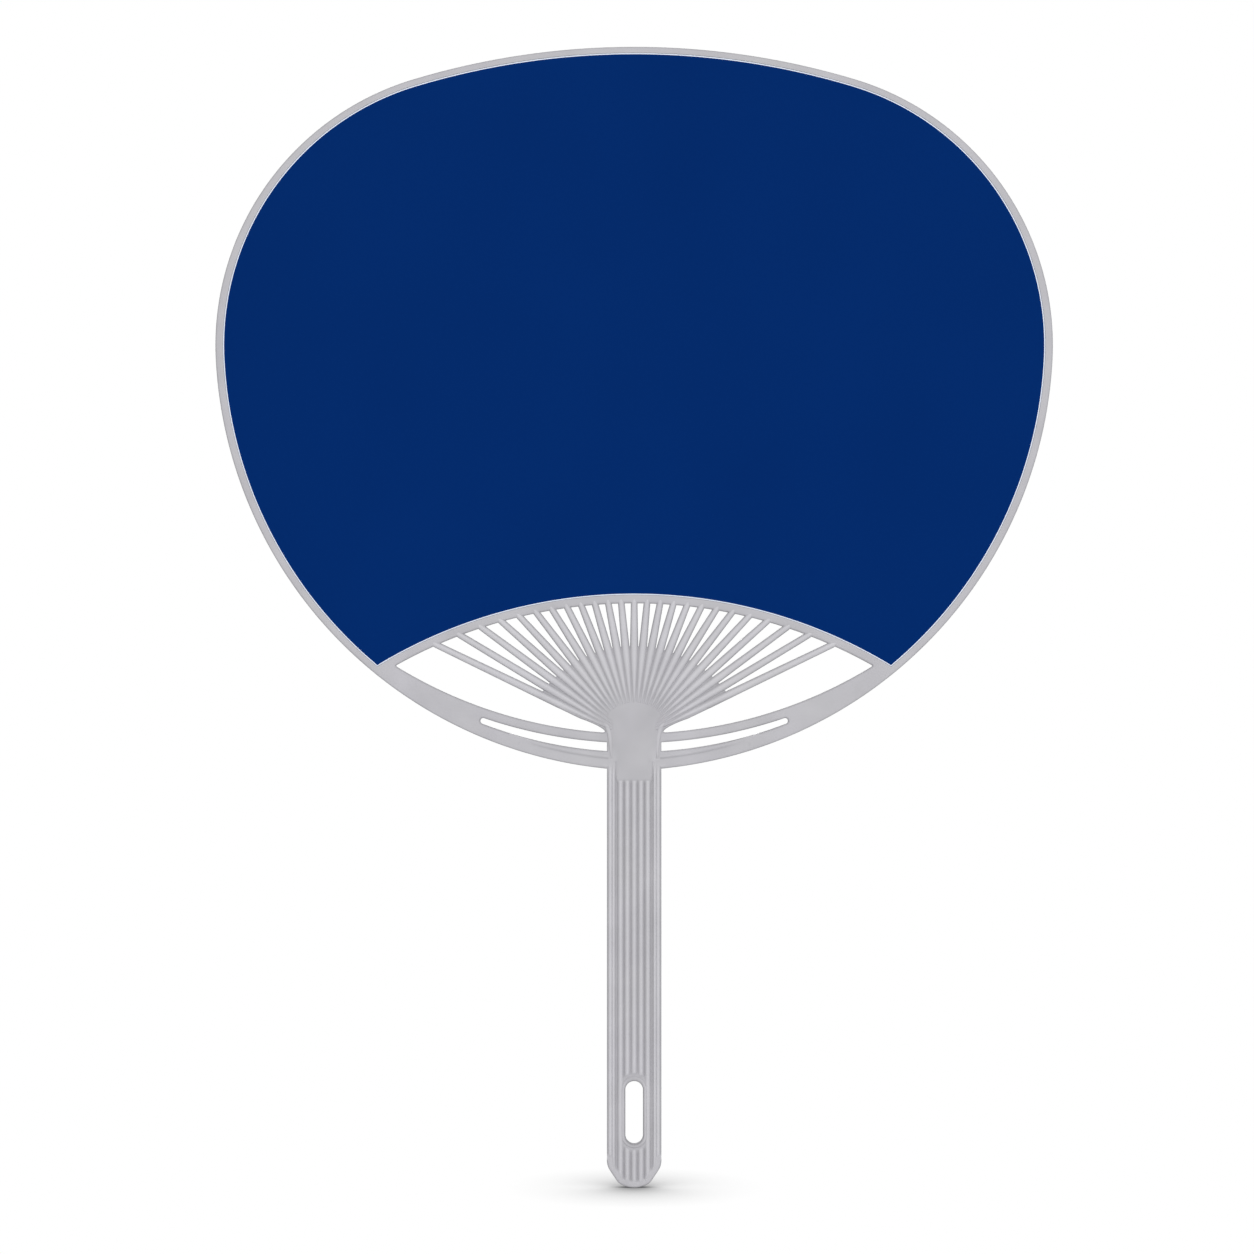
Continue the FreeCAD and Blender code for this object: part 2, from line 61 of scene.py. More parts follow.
# Rim, cross band and the sheets' thin seat; the rim is narrower at the top than at the sides
RIM_AT_TOP = 1.84
RIM_SPREAD = 0.38
RIM_ROUND = 0.6
BAND_CURVE = 145.72
BAND_RISE = 51.02
BAND_WIDTH = 2.47
SEAT_ROUND = 0.12
LEDGE_WIDTH = 2.0
LEDGE_TUCK = 0.6
LEDGE_ROUND = 0.1

# Bow arms with their slits, and the windows over them
LOWER_STRUT = 4.9
SLIT_WIDTH = 2.6
UPPER_STRUT = 2.8
LOWER_STRUT_AT_TIP = 3.74
SLIT_TIP_RADIUS = 0.85
SLIT_ROUND = 0.7
ARM_END_WIDTH = 5.46
NECK_SIDE = 4.0
NECK_RISE = 3.0
OUTER_WINDOW = 13.65
WINDOW_CORNER_RADIUS = 0.25
WINDOW_ROUND = 0.65

# A window's inner end: an S from the arm past the hub to the lowest rib, with its guide points
CURL_SILL = 9.3
CURL_SILL_GUIDE = 8.82
CURL_SIDE = 8.62
CURL_RISE = 0.4
CURL_LOW_GUIDE = (-0.06, -0.25)
CURL_HIGH_GUIDE = (0.3, 0.75)
CURL_RIB_GUIDE = (11.2, HANDLE_LENGTH + 13.1)
CURL_REACH = 17.0

# Ribs, measured from the fan's point, and where the opening turns back under the lowest one
RIB_COUNT = 25
FAN_DROP = 1.9
RIB_ROOT = 7.0
RIB_SIDE = 1.2
RIB_SIDE_AT_BAND = 0.95
RIB_SIDE_AT_RIM = 0.7
RIB_SHARE = 0.56
RIB_OVER_BAND = 1.4
RIB_UNDER_BAND = 0.5
RIB_END_INSET = 1.08
TURN_BACK_ROOT = 10.0
TURN_BACK_REACH = 24.0

# A rib's half thickness at its root, at the dome's edge, at the web's edge and at the band
DOME_EDGE = 11.0
RIB_HALVES = (1.61, 1.59, 1.1, 1.19)

# A rib's profile, rounder in the web than past it, and its rounded end with the rows that shape it
RIB_POWER = 0.97
RIB_SQUARER = 0.2
RIB_CHANGE = 4.0
CAP_RADIUS = 1.2
CAP_RUN = 1.5
CAP_ROWS = np.array([0.8, 0.6, 0.4, 0.25, 0.12, 0.03, 0.0])
CAP_THIN = 0.05
CAP_LOW = 0.14

# Fluted web: its edge, and pairs of reach and half thickness
WEB_CURVE = 33.9
WEB_REACH = 27.6
WEB_ROOT = 4.0
WEB_SECTION = ((WEB_ROOT, 1.54), (11.0, 1.42), (12.5, 1.29), (14.0, 1.18), (18.0, 0.98), (24.0, 0.68),
               (30.0, 0.55))
WEB_COLUMNS_A_RIB = 6
WEB_EDGE_DROP = 0.2
WEB_EDGE = (0.95, 1.0)

# Hub: its neck on the handle, its dome (angles in radians) and what its face loses, with heights that
# count from the handle's end
HUB_HALF = 1.66
HUB_NECK_SIDE = 5.5
HUB_SIDE = HANDLE_SIDE - BOX_GAP
HUB_SHOULDER = (2.1, 2.4)
HUB_ROUND = 0.55
HUB_ROUND_SHARE = 0.7
HUB_FOOT = -3.7
HUB_ROWS = ((-2.0, 9), (-1.0, 1), (2.0, 4), (2.1, 1), (3.9, 15), (4.5, 1))
HUB_FOOT_DROP = 0.3
HUB_FOOT_RUN = (-3.6, -2.5)
DOME_RADIUS = 11.2
DOME_START = 0.05
DOME_POLE_GAP = 0.03
DOME_SINK = 0.1
DOME_SINK_FROM = 7.0
DOME_SINK_HEIGHTS = (9.0, 13.0)
HUB_CORNER_DROP = 0.5
HUB_CORNER_SIDES = (4.2, 6.4)
HUB_CORNER_HEIGHTS = (2.2, 7.5)
SLOPE_DROP = 0.44
SLOPE_SIDES = (5.6, 7.8)
SLOPE_HEIGHTS = (12.5, 15.5)

# Bead down the hub's side: guide points, half width and height, and how thin its ends are
BEAD_GUIDES = ((9.2, 13.9), (7.9, 12.8), (6.85, 11.6), (6.75, 3.0))
BEAD_SIZE = (0.62, 0.27)
BEAD_THIN = 0.02
BEAD_TAPER = 0.6
BEAD_LEVEL = 1.3

# Tip of the handle: shallow arc, corner, slant and shoulder, and the smooth lip round it
TIP_ARC_SIDE = 3.2
TIP_BOW = 0.066
TIP_CORNER = (4.55, 1.22)
TIP_CORNER_RADIUS = 3.6
TIP_SHOULDER = 6.4
TIP_SHOULDER_RADIUS = 5.0
TIP_TOP = 11.0
TIP_STEP = 0.02
TIP_EDGE_ROWS = (0.0, 0.004, 0.012, 0.025, 0.045, 0.07)
LIP_RISE = 0.42
LIP_ROUND = 0.7
LIP_GAPS = (1.4, 2.4)

# Rails along the handle: distances from the edge at which columns lie, pairs of distance and rise, and two
# beads by their middle and half width
RAIL_GAPS = np.array([0, 0.03, 0.1, 0.2, 0.33, 0.5, 0.7, 0.95, 1.15, 1.3, 1.42, 1.5, 1.58, 1.7, 1.84, 1.98,
                      2.12, 2.24, 2.34, 2.42, 2.5, 2.6, 2.7, 2.85])
RAIL_SECTION = ((0, 0), (0.06, 0.12), (0.2, 0.2), (0.45, 0.26), (0.7, 0.28), (2.1, 0.28), (2.4, 0.18),
                (2.7, 0.05), (3.0, 0))
RAIL_BEADS = ((0.94, 0.6), (1.98, 0.48))
RAIL_BEAD_RISE = 0.37
RAIL_RISE = 1.2

# Border along the arms, which the rails turn into at a mitre
ARM_RAIL_END = 38.0
ARM_RAIL_TUCK = 0.15
ARM_GAPS = (2.95, 3.05, 3.15, 3.3, 3.5, 3.7, 3.9, 4.1)
ARM_GROOVE = 3.05
GROOVE_SIDE = 0.3
GROOVE_DEPTH = 0.07
ARM_FADE = (0.35, 1.0)
ARM_PROUD = 0.012
ARM_END_SINK = 0.02
ARM_INNER_SINK = 0.05
ARM_INNER_GAPS = (3.5, 4.1)
MITRE_HEIGHTS = (-2.5, 2.2)
MITRE_RUN = 1.5

# Panel of the handle with its ridges, which fade at the rails and at the ramp to the hub
PANEL_FLOOR = 1.1
PANEL_GAP = 3.0
PANEL_SIDE = 4.9
RIDGES = (-4.0, -2.0, 0.0, 2.0, 4.0)
RIDGE_RISE = 0.56
RIDGE_SIDE = 0.98
RIDGE_TOP = 119.6
RIDGE_FADE = (-0.4, 0.6)
RIDGE_GAPS = (2.35, 3.2)
RAMP = (-1.3, 0.6)
RAMP_GAPS = (2.4, 3.0)
RAMP_DIP = 0.2
RAMP_DIP_RUN = (0.9, 1.8)

# Hang slot: its hole, its border, the low apron round that, and where the ridges between the valleys end
SLOT_SIDE = 2.58
SLOT_REACH = 6.6
SLOT_HEIGHT = 22.05
HOLE_SIDE = 2.66
BORDER_WIDTH = 1.4
BORDER_SWELL = 0.28
BORDER_HALF = 1.72
BORDER_POWER = 0.8
UNDER_BORDER = 0.6
UNDER_BORDER_GAPS = (3.0, 3.75)
APRON_RISE = 0.34
APRON_GAPS = (4.2, 5.6)
RIDGE_VALLEY = 3.0
RIDGE_END_OVER = 4.5
RIDGE_END_UNDER = 3.9
RIDGE_END_RUN = 0.7

# Rows of the handle over its tip: heights, each with the count of even steps that lead up to it
ROWS_START = 11.3
SLOT_ROWS = ((16.5, 11), (28.0, 7))
UPPER_ROWS = ((34.0, 5), (118.0, 29), (120.4, 17), (124.8, 5), (126.4, 13))

# Sheets: levels, and pairs of inset and drop over the softened cut edge, where the white card shows
SHEET_INNER = 0.65
SHEET_OUTER = 0.9
SHEET_CLEARANCE = 0.05
SHEET_MIDDLE = HANDLE_LENGTH + 129.0
INNERMOST_RING = 0.02
CUT_EDGE = 0.3
CUT_SECTION = ((0.0, 0.1), (0.02, 0.05), (0.06, 0.015), (CUT_EDGE, 0.0), (CUT_EDGE + 0.03, 0.0), (1.0, 0.0))

# Painted light and shade on the milky plastic: 0 is painted shade, in a groove or at an edge; 1 is a painted
# highlight on a crown. Thin parts are painted paler than the thick hub, for the light that comes through
# them.
EDGE_TONE = 0.1
EDGE_FADE = (-0.2, 0.5)
FLAT_TONE = 0.54
HUB_TONE = 0.42
HUB_CORNER_TONE = 0.5
BEAD_TONE = 0.75
SEAT_TONE = 0.9
RIB_TONE = 1.05
RIB_FADE = (9.5, 17.5)
WEB_FADE = (10.5, 17.0)
RAIL_TONE = 1.1
RAIL_FADE = (0.0, 0.75)
GROOVE_TONE = 0.55
RIDGE_TONE = 1.05
APRON_TONE = 0.34
BORDER_END_TONE = 0.3
BORDER_SIDE_TONE = 0.45
LIP_TONE = 0.7
LIP_FADE = (-0.2, 0.6)
SMOOTH_TOP = (-0.4, 0.5)
SMOOTH_TOP_GAPS = (2.2, 2.9)

# Meshes: points this near (mm) are one, metres for welding and slivers, and which faces count as flat
SAME_POINT = 1e-3
WELD = 1e-7
SLIVER = 1e-8
SHARP_ANGLE = math.radians(50)
FLAT_FACE = 0.9999
ARC_STEP = 1.2

# Colours, in pairs where a soft cloud runs between two
# The plastic's colour in painted shade and in painted light, each pair with a random tint between its two
PLASTIC_IN_PAINTED_SHADE = ((0.384, 0.376, 0.409, 1), (0.388, 0.386, 0.396, 1))
PLASTIC_IN_PAINTED_LIGHT = ((0.554, 0.544, 0.588, 1), (0.561, 0.558, 0.57, 1))
BLUE_INK = ((0.0008, 0.0193, 0.12, 1), (0.0013, 0.0258, 0.153, 1))
WHITE_CARD = (0.78, 0.84, 0.95, 1)
GLUE_FILM = ((0.62, 0.6, 0.52, 1), (0.74, 0.72, 0.65, 1))
FLOOR_SHADE = (0.1, 0.1, 0.105, 1)
FLOOR_MATT = (0.9, 0.9, 0.9, 1)
WHITE = (1, 1, 1, 1)

# Light, floor and camera, in metres and watts
AMBIENT = 0.35
SHADOW_REACH = 0.031
SHADOW_POWER = 2.1
FLOOR_RADIUS = 1.6
LAMP_TARGET = (0, 0, 0.2)
LAMP_SIZE = 2.0
LAMPS = (("key", (0.58, -6.0, 2.5), 258.0), ("back", (-0.58, 6.0, 2.5), 240.0))
PICTURE_WIDTH = 0.3685
PICTURE_MIDDLE = (-0.0021, 0.1646)
LENS = 88.0
SENSOR = 36.0


def turn_to(origin, target):
    """The angle from straight up, towards +X, under which the target is seen."""
    return math.atan2(target[0] - origin[0], target[1] - origin[1])


def on_circle(centre, radius, turn):
    """Points of a circle at angles from straight up: centre plus radius times (sine, cosine)."""
    turn = np.asarray(turn, float)
    return np.stack([centre[0] + radius * np.sin(turn), centre[1] + radius * np.cos(turn)], -1)


def circles_meet(centre_a, radius_a, centre_b, radius_b):
    """The crossing of two circles that lies left of the way from a to b."""
    gap = math.dist(centre_a, centre_b)
    along = (radius_a ** 2 - radius_b ** 2 + gap ** 2) / (2 * gap)
    return on_circle(centre_a, radius_a, turn_to(centre_a, centre_b) - math.acos(along / radius_a))


def radius_between(start, turn, end):
    """The radius of the arc that leaves a point square to a direction and runs through another."""
    gap = np.subtract(start, end)
    return float(gap @ gap / (2 * (gap[0] * math.sin(turn) + gap[1] * math.cos(turn))))


# The outline's three arcs a side and the circles of band, windows, fan and web
TOTAL_HEIGHT = HANDLE_LENGTH + HEAD_HEIGHT - BOX_GAP
WIDEST_HEIGHT = HANDLE_LENGTH + WIDEST_SHARE * HEAD_HEIGHT
TOP_RISE = TOTAL_HEIGHT - WIDEST_HEIGHT
TOP_CENTRE = (0.0, TOTAL_HEIGHT - TOP_RADIUS)
SHOULDER_ROOM = 2 * TOP_RADIUS * TOP_RISE - TOP_RISE ** 2 - HEAD_SIDE ** 2
SHOULDER_RADIUS = SHOULDER_ROOM / (2 * (TOP_RADIUS - HEAD_SIDE))
SHOULDER_CENTRE = (HEAD_SIDE - SHOULDER_RADIUS, WIDEST_HEIGHT)
TOP_TURN = turn_to(TOP_CENTRE, SHOULDER_CENTRE)
FOOT = (HANDLE_SIDE, HANDLE_LENGTH)
FLANK_TURN = math.radians(90 + SHOULDER_DIP)
FLANK_START = on_circle(SHOULDER_CENTRE, SHOULDER_RADIUS, FLANK_TURN)
FLANK_RADIUS = radius_between(FLANK_START, FLANK_TURN, FOOT)
FLANK_CENTRE = on_circle(FLANK_START, -FLANK_RADIUS, FLANK_TURN)
BAND_CENTRE = (0.0, HANDLE_LENGTH + BAND_RISE - BAND_CURVE)
BAND_LOW = BAND_CURVE - BAND_WIDTH
CORNER = circles_meet(FLANK_CENTRE, FLANK_RADIUS - ARM_END_WIDTH, BAND_CENTRE, BAND_LOW)
WINDOW_LOW = HANDLE_LENGTH + LOWER_STRUT + SLIT_WIDTH + UPPER_STRUT
WINDOW_CURVE = radius_between((0.0, WINDOW_LOW), math.pi, CORNER)
WINDOW_CENTRE = (0.0, WINDOW_LOW + WINDOW_CURVE)
FAN_POINT = (0.0, WINDOW_LOW - FAN_DROP)
OUTER_RIB_END = on_circle(BAND_CENTRE, BAND_LOW, turn_to(BAND_CENTRE, CORNER) - OUTER_WINDOW / BAND_LOW)
OUTER_RIB = turn_to(FAN_POINT, OUTER_RIB_END)
RIB_TURNS = np.linspace(-OUTER_RIB, OUTER_RIB, RIB_COUNT)
WEB_CENTRE = (0.0, FAN_POINT[1] + WEB_REACH - WEB_CURVE)


def smooth_step(low, high, value):
    """0 below low, 1 above high, and 3t^2 - 2t^3 between."""
    part = np.clip((np.asarray(value, float) - low) / (high - low), 0, 1)
    return part * part * (3 - 2 * part)


def between(first, second, part):
    """What lies a part of the way from the first to the second."""
    return first + (second - first) * part


def stepped(start, *runs):
    """Numbers that go on from the start in even steps: a run is given by its end and its count of steps."""
    numbers = [np.array([start])]
    for end, count in runs:
        numbers.append(np.linspace(numbers[-1][-1], end, count + 1)[1:])
    return np.concatenate(numbers)


def arc_turns(radius, start, end, step=ARC_STEP):
    """Angles along an arc whose points lie about one step apart."""
    count = max(8, int(abs(end - start) * radius / step))
    return np.linspace(start, end, count + 1)


def arc(centre, radius, start, end, step=ARC_STEP):
    """Points along an arc, about one step apart."""
    return on_circle(centre, radius, arc_turns(radius, start, end, step))


def mirrored(points):
    """The same points on the other side of the fan's middle, in reverse order."""
    return (points * (-1, 1))[::-1]


def joined(*runs):
    """One closed outline from runs of points, without points that lie on each other."""
    points = np.concatenate(runs)
    apart = np.linalg.norm(points - np.roll(points, 1, 0), axis=1) > SAME_POINT
    return points[apart]


def set_in(centre, radius, start, end, inset, spread):
    """Points along an arc, set in by inset + spread * sine^2 of the angle from straight up."""
    turn = arc_turns(radius, start, end)
    return on_circle(centre, radius - inset - spread * np.sin(turn) ** 2, turn)


def head_outline(inset, end, spread=0.0):
    """The head's outline, set in by a distance that grows by the spread to the sides, from its left end
    over the top to the right one."""
    finish = turn_to(FLANK_CENTRE, end)
    right = np.concatenate([
        set_in(TOP_CENTRE, TOP_RADIUS, 0, TOP_TURN, inset, spread),
        set_in(SHOULDER_CENTRE, SHOULDER_RADIUS, TOP_TURN, FLANK_TURN, inset, spread)[1:],
        set_in(FLANK_CENTRE, FLANK_RADIUS, FLANK_TURN, finish, inset, spread)[1:],
    ])
    return np.concatenate([mirrored(right)[:-1], right])


def sheet_outline(gap, radius):
    """A sheet's outline: the rim's inner edge set in by a gap, closed by a circle along the band. The inset
    where they meet depends on the place, so a few rounds close in on it."""
    inset = inset_there = RIM_AT_TOP + gap
    for attempt in range(6):
        corner = circles_meet(FLANK_CENTRE, FLANK_RADIUS - inset_there, BAND_CENTRE, radius)
        inset_there = inset + RIM_SPREAD * math.sin(turn_to(FLANK_CENTRE, corner)) ** 2
    reach = turn_to(BAND_CENTRE, corner)
    return joined(head_outline(inset, corner, RIM_SPREAD), arc(BAND_CENTRE, radius, reach, -reach))


def flank_turn(x):
    """The angle at which the flank's circle, below its middle, is this far from the fan's middle."""
    return math.pi - math.asin((x - FLANK_CENTRE[0]) / FLANK_RADIUS)


def rib_place(turn, reach, off):
    """A point by its distance along a rib and its distance off the rib's middle line."""
    way = np.array([math.sin(turn), math.cos(turn)])
    side = np.array([math.cos(turn), -math.sin(turn)])
    return np.asarray(FAN_POINT) + np.multiply.outer(reach, way) + np.multiply.outer(off, side)


def bent(start, leave, arrive, end, count=14):
    """A cubic curve from start to end that leaves and arrives towards two guide points."""
    t = np.linspace(0, 1, count)[:, None]
    start, leave, arrive, end = (np.asarray(p, float) for p in (start, leave, arrive, end))
    return (1 - t) ** 3 * start + 3 * t * (1 - t) ** 2 * leave + 3 * t ** 2 * (1 - t) * arrive + t ** 3 * end


def on_sill(x):
    """A point of the arm's upper edge, the window's lower side."""
    return np.array([x, WINDOW_CENTRE[1] - math.sqrt(WINDOW_CURVE ** 2 - x ** 2)])


def window_curl():
    """From the arm's upper edge round the window's inner end and up along the lowest rib: two cubic curves
    that meet beside the hub."""
    sill = on_sill(CURL_SILL)
    side = on_sill(CURL_SIDE) + (0, CURL_RISE)
    rib_point = rib_place(OUTER_RIB, CURL_REACH, RIB_SIDE)
    return np.concatenate([
        bent(sill, (CURL_SILL_GUIDE, sill[1]), side + CURL_LOW_GUIDE, side),
        bent(side, side + CURL_HIGH_GUIDE, CURL_RIB_GUIDE, rib_point)[1:],
    ])


def fan_opening():
    """The opening between band and arms: band, corner, arm, curl, then the lowest rib into the web."""
    inner = (WINDOW_CURVE - WINDOW_CORNER_RADIUS, BAND_LOW - WINDOW_CORNER_RADIUS)
    corner = circles_meet(WINDOW_CENTRE, inner[0], BAND_CENTRE, inner[1])
    band_turn = turn_to(BAND_CENTRE, corner)
    arm_turn = turn_to(WINDOW_CENTRE, corner)
    curl = window_curl()
    right = np.concatenate([
        arc(BAND_CENTRE, BAND_LOW, 0, band_turn),
        arc(corner, WINDOW_CORNER_RADIUS, band_turn, arm_turn, step=0.15),
        arc(WINDOW_CENTRE, WINDOW_CURVE, arm_turn, turn_to(WINDOW_CENTRE, curl[0])),
        curl,
        rib_place(OUTER_RIB, np.array([CURL_REACH + 1, TURN_BACK_REACH]), np.full(2, RIB_SIDE)),
        rib_place(OUTER_RIB, np.array([TURN_BACK_REACH - 1, TURN_BACK_ROOT]), np.zeros(2)),
    ])
    return joined(right, mirrored(right))


def slit_outline():
    """The right arm's slit: square at the hub, between two long arcs, round at its tip."""
    high = WINDOW_CURVE + UPPER_STRUT
    under = high + SLIT_TIP_RADIUS
    over = FLANK_RADIUS - LOWER_STRUT_AT_TIP - SLIT_TIP_RADIUS
    tip = circles_meet(WINDOW_CENTRE, under, FLANK_CENTRE, over)
    low = HANDLE_LENGTH + LOWER_STRUT
    rise = tip[1] - low
    radius = (tip[0] ** 2 + rise ** 2 - SLIT_TIP_RADIUS ** 2) / (2 * (rise - SLIT_TIP_RADIUS))
    low_centre = (0.0, low + radius)
    high_turn = turn_to(WINDOW_CENTRE, tip)
    low_turn = turn_to(low_centre, tip)
    return joined(
        arc(WINDOW_CENTRE, high, math.pi - math.asin(HANDLE_SIDE / high), high_turn),
        arc(tip, SLIT_TIP_RADIUS, high_turn - math.pi, low_turn, step=0.12),
        arc(low_centre, radius, low_turn, math.pi - math.asin(HANDLE_SIDE / radius)),
    )


def grid_faces(rows, columns, around=False, closed_rows=False):
    """Four-sided faces of a grid of points, optionally joined up round the columns or the rows."""
    row = np.arange(rows if closed_rows else rows - 1)[:, None]
    column = np.arange(columns if around else columns - 1)[None, :]
    next_row = (row + 1) % rows
    next_column = (column + 1) % columns
    corners = [row * columns + column, row * columns + next_column,
               next_row * columns + next_column, next_row * columns + column]
    return np.stack([np.broadcast_to(c, (row.size, column.size)) for c in corners], -1).reshape(-1, 4)


def make_piece(name, shape, finish, mark, flat_limit=None):
    """A closed mesh in metres from points in millimetres, faces, and one value a point that is kept as an
    attribute of the given name; smooth except where it lies flat to the front."""
    points, faces, values = shape
    mesh = bpy.data.meshes.new(name)
    mesh.from_pydata((points * MM).tolist(), [], [list(face) for face in faces])
    mesh.attributes.new(mark, "FLOAT", "POINT").data.foreach_set("value", values.astype(np.float32))
    solid = bmesh.new()
    solid.from_mesh(mesh)
    bmesh.ops.remove_doubles(solid, verts=solid.verts, dist=WELD)
    bmesh.ops.dissolve_degenerate(solid, edges=solid.edges, dist=SLIVER)
    bmesh.ops.recalc_face_normals(solid, faces=solid.faces)
    solid.to_mesh(mesh)
    solid.free()
    normals = np.empty(len(mesh.polygons) * 3)
    mesh.polygons.foreach_get("normal", normals)
    level = np.abs(normals.reshape(-1, 3)[:, 1])
    smooth = np.ones(len(level), bool) if flat_limit is None else level < flat_limit
    mesh.polygons.foreach_set("use_smooth", smooth)
    mesh.set_sharp_from_angle(angle=SHARP_ANGLE)
    mesh.materials.append(finish)
    piece = bpy.data.objects.new(name, mesh)
    bpy.context.scene.collection.objects.link(piece)
    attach(piece, "root")
    return piece


def inward(points):
    """Unit normals of a closed outline that point to the left of its way round."""
    way = np.roll(points, -1, 0) - np.roll(points, 1, 0)
    way /= np.linalg.norm(way, axis=1, keepdims=True)
    return np.stack([-way[:, 1], way[:, 0]], -1)


def turned(points, left):
    """The outline, run so that its inside lies left (or right) of its way round."""
    x, z = points.T
    area = np.sum(x * np.roll(z, -1) - z * np.roll(x, -1))
    return points if (area > 0) == left else points[::-1]


def in_space(places, level):
    """Points in space from places in the XZ plane, at a level along Y."""
    return np.stack([places[..., 0], np.broadcast_to(level, places.shape[:-1]), places[..., 1]], -1)


def rounded_plate(outlines, edges, half, steps=7, flat_tone=FLAT_TONE):
    """A flat plate, the first outline with the others cut out: a quarter circle is carried along each edge,
    front and back, as inset = radius * (1 - cos a) and level = half - radius + radius * sin a, and the flats
    are filled. An edge is a radius and a painted tone, darker for painted shade and paler for painted light,
    which goes over to the flat's painted tone as the root of 1 - cos a."""
    turn = np.linspace(0, math.pi / 2, steps)
    points, faces, tones, rings, start = [], [], [], [], 0
    for outline, (radius, edge_tone) in zip(outlines, edges):
        tone = between(edge_tone, flat_tone, np.sqrt(1 - np.cos(turn)))
        insets = radius * (1 - np.cos(turn))
        levels = half - radius + radius * np.sin(turn)
        outline = turned(outline, start == 0)
        count = len(outline)
        ring = outline[None] + insets[:, None, None] * inward(outline)[None]
        front = in_space(ring, -levels[:, None])
        stack = np.concatenate([front[::-1], front * (1, -1, 1)])
        points.append(stack.reshape(-1, 3))
        tones.append(np.repeat(np.concatenate([tone[::-1], tone]), count))
        faces.extend(grid_faces(2 * steps, count, around=True) + start)
        rings.append((start + np.arange(count), stack[0][:, ::2].tolist()))
        start += 2 * steps * count
    flat = np.array(tessellate_polygon([border for index, border in rings]))
    front_rim = np.concatenate([index for index, border in rings])
    back_rim = np.concatenate([index + (2 * steps - 1) * len(index) for index, border in rings])
    faces.extend(front_rim[flat])
    faces.extend(back_rim[flat][:, ::-1])
    return np.concatenate(points), faces, np.concatenate(tones)


def side_wall(index, size):
    """Faces from the border of a grid of point numbers to the same border on the back."""
    border = np.concatenate([index[0], index[1:, -1], index[-1, -2::-1], index[-2:0:-1, 0]])
    after = np.roll(border, -1)
    return np.stack([border, after, after + size, border + size], -1)


def sided_plate(places, levels, tones, hole=None):
    """A plate from a grid of places in the XZ plane and the half thickness at each, front and back alike,
    closed round its border and round a hole, given by its first and last row and column."""
    rows, columns = levels.shape
    size = rows * columns
    front = in_space(places, -levels).reshape(-1, 3)
    points = np.concatenate([front, front * (1, -1, 1)])
    values = np.tile(np.broadcast_to(tones, levels.shape).ravel(), 2)
    index = np.arange(size).reshape(rows, columns)
    keep = np.ones((rows - 1, columns - 1), bool)
    walls = [side_wall(index, size)]
    if hole:
        top, bottom, left, right = hole
        keep[top:bottom, left:right] = False
        walls.append(side_wall(index[top:bottom + 1, left:right + 1], size))
    face = grid_faces(rows, columns)[keep.ravel()]
    faces = np.concatenate([face, face[:, ::-1] + size, *walls])
    used, place = np.unique(faces, return_inverse=True)
    return points[used], place.reshape(faces.shape), values[used]


def swept(path, across, profile, closed, tones, face=1.0):
    """A closed profile carried along a path: path plus profile x times across, plus profile y times face
    along Y."""
    points = path[:, None] + profile[..., :1] * across[:, None] + profile[..., 1:] * (0.0, face, 0.0)
    rows, columns = points.shape[:2]
    faces = list(grid_faces(rows, columns, around=True, closed_rows=closed))
    if not closed:
        faces.append(np.arange(columns)[::-1])
        faces.append(np.arange(columns) + (rows - 1) * columns)
    return points.reshape(-1, 3), faces, np.broadcast_to(tones, (rows, columns)).ravel()


def soft_box(count, power):
    """A rounded box profile for each power: x = |cos a|^power and y = |sin a|^power with their signs."""
    turn = np.linspace(0, 2 * math.pi, count, endpoint=False)
    cosine, sine = np.cos(turn), np.sin(turn)
    power = np.asarray(power)[..., None]
    return np.stack([np.sign(cosine) * np.abs(cosine) ** power, np.sign(sine) * np.abs(sine) ** power], -1)


def gathered(parts):
    """One set of points, faces and values from several."""
    points, faces, values, start = [], [], [], 0
    for part_points, part_faces, part_values in parts:
        points.append(part_points)
        faces.extend(np.asarray(face) + start for face in part_faces)
        values.append(part_values)
        start += len(part_points)
    return np.concatenate(points), faces, np.concatenate(values)


class Wire:
    """One output of a shader node. Sums, differences and products of wires add Math nodes."""

    def __init__(self, paint, socket):
        self.paint = paint
        self.socket = socket

    def maths(self, operation, first, second):
        return self.paint.node("ShaderNodeMath", {"operation": operation}, {0: first, 1: second})

    def __add__(self, other):
        return self.maths("ADD", self, other)

    def __sub__(self, other):
        return self.maths("SUBTRACT", self, other)

    def __rsub__(self, other):
        return self.maths("SUBTRACT", other, self)

    def __mul__(self, other):
        return self.maths("MULTIPLY", self, other)

    __radd__ = __add__
    __rmul__ = __mul__


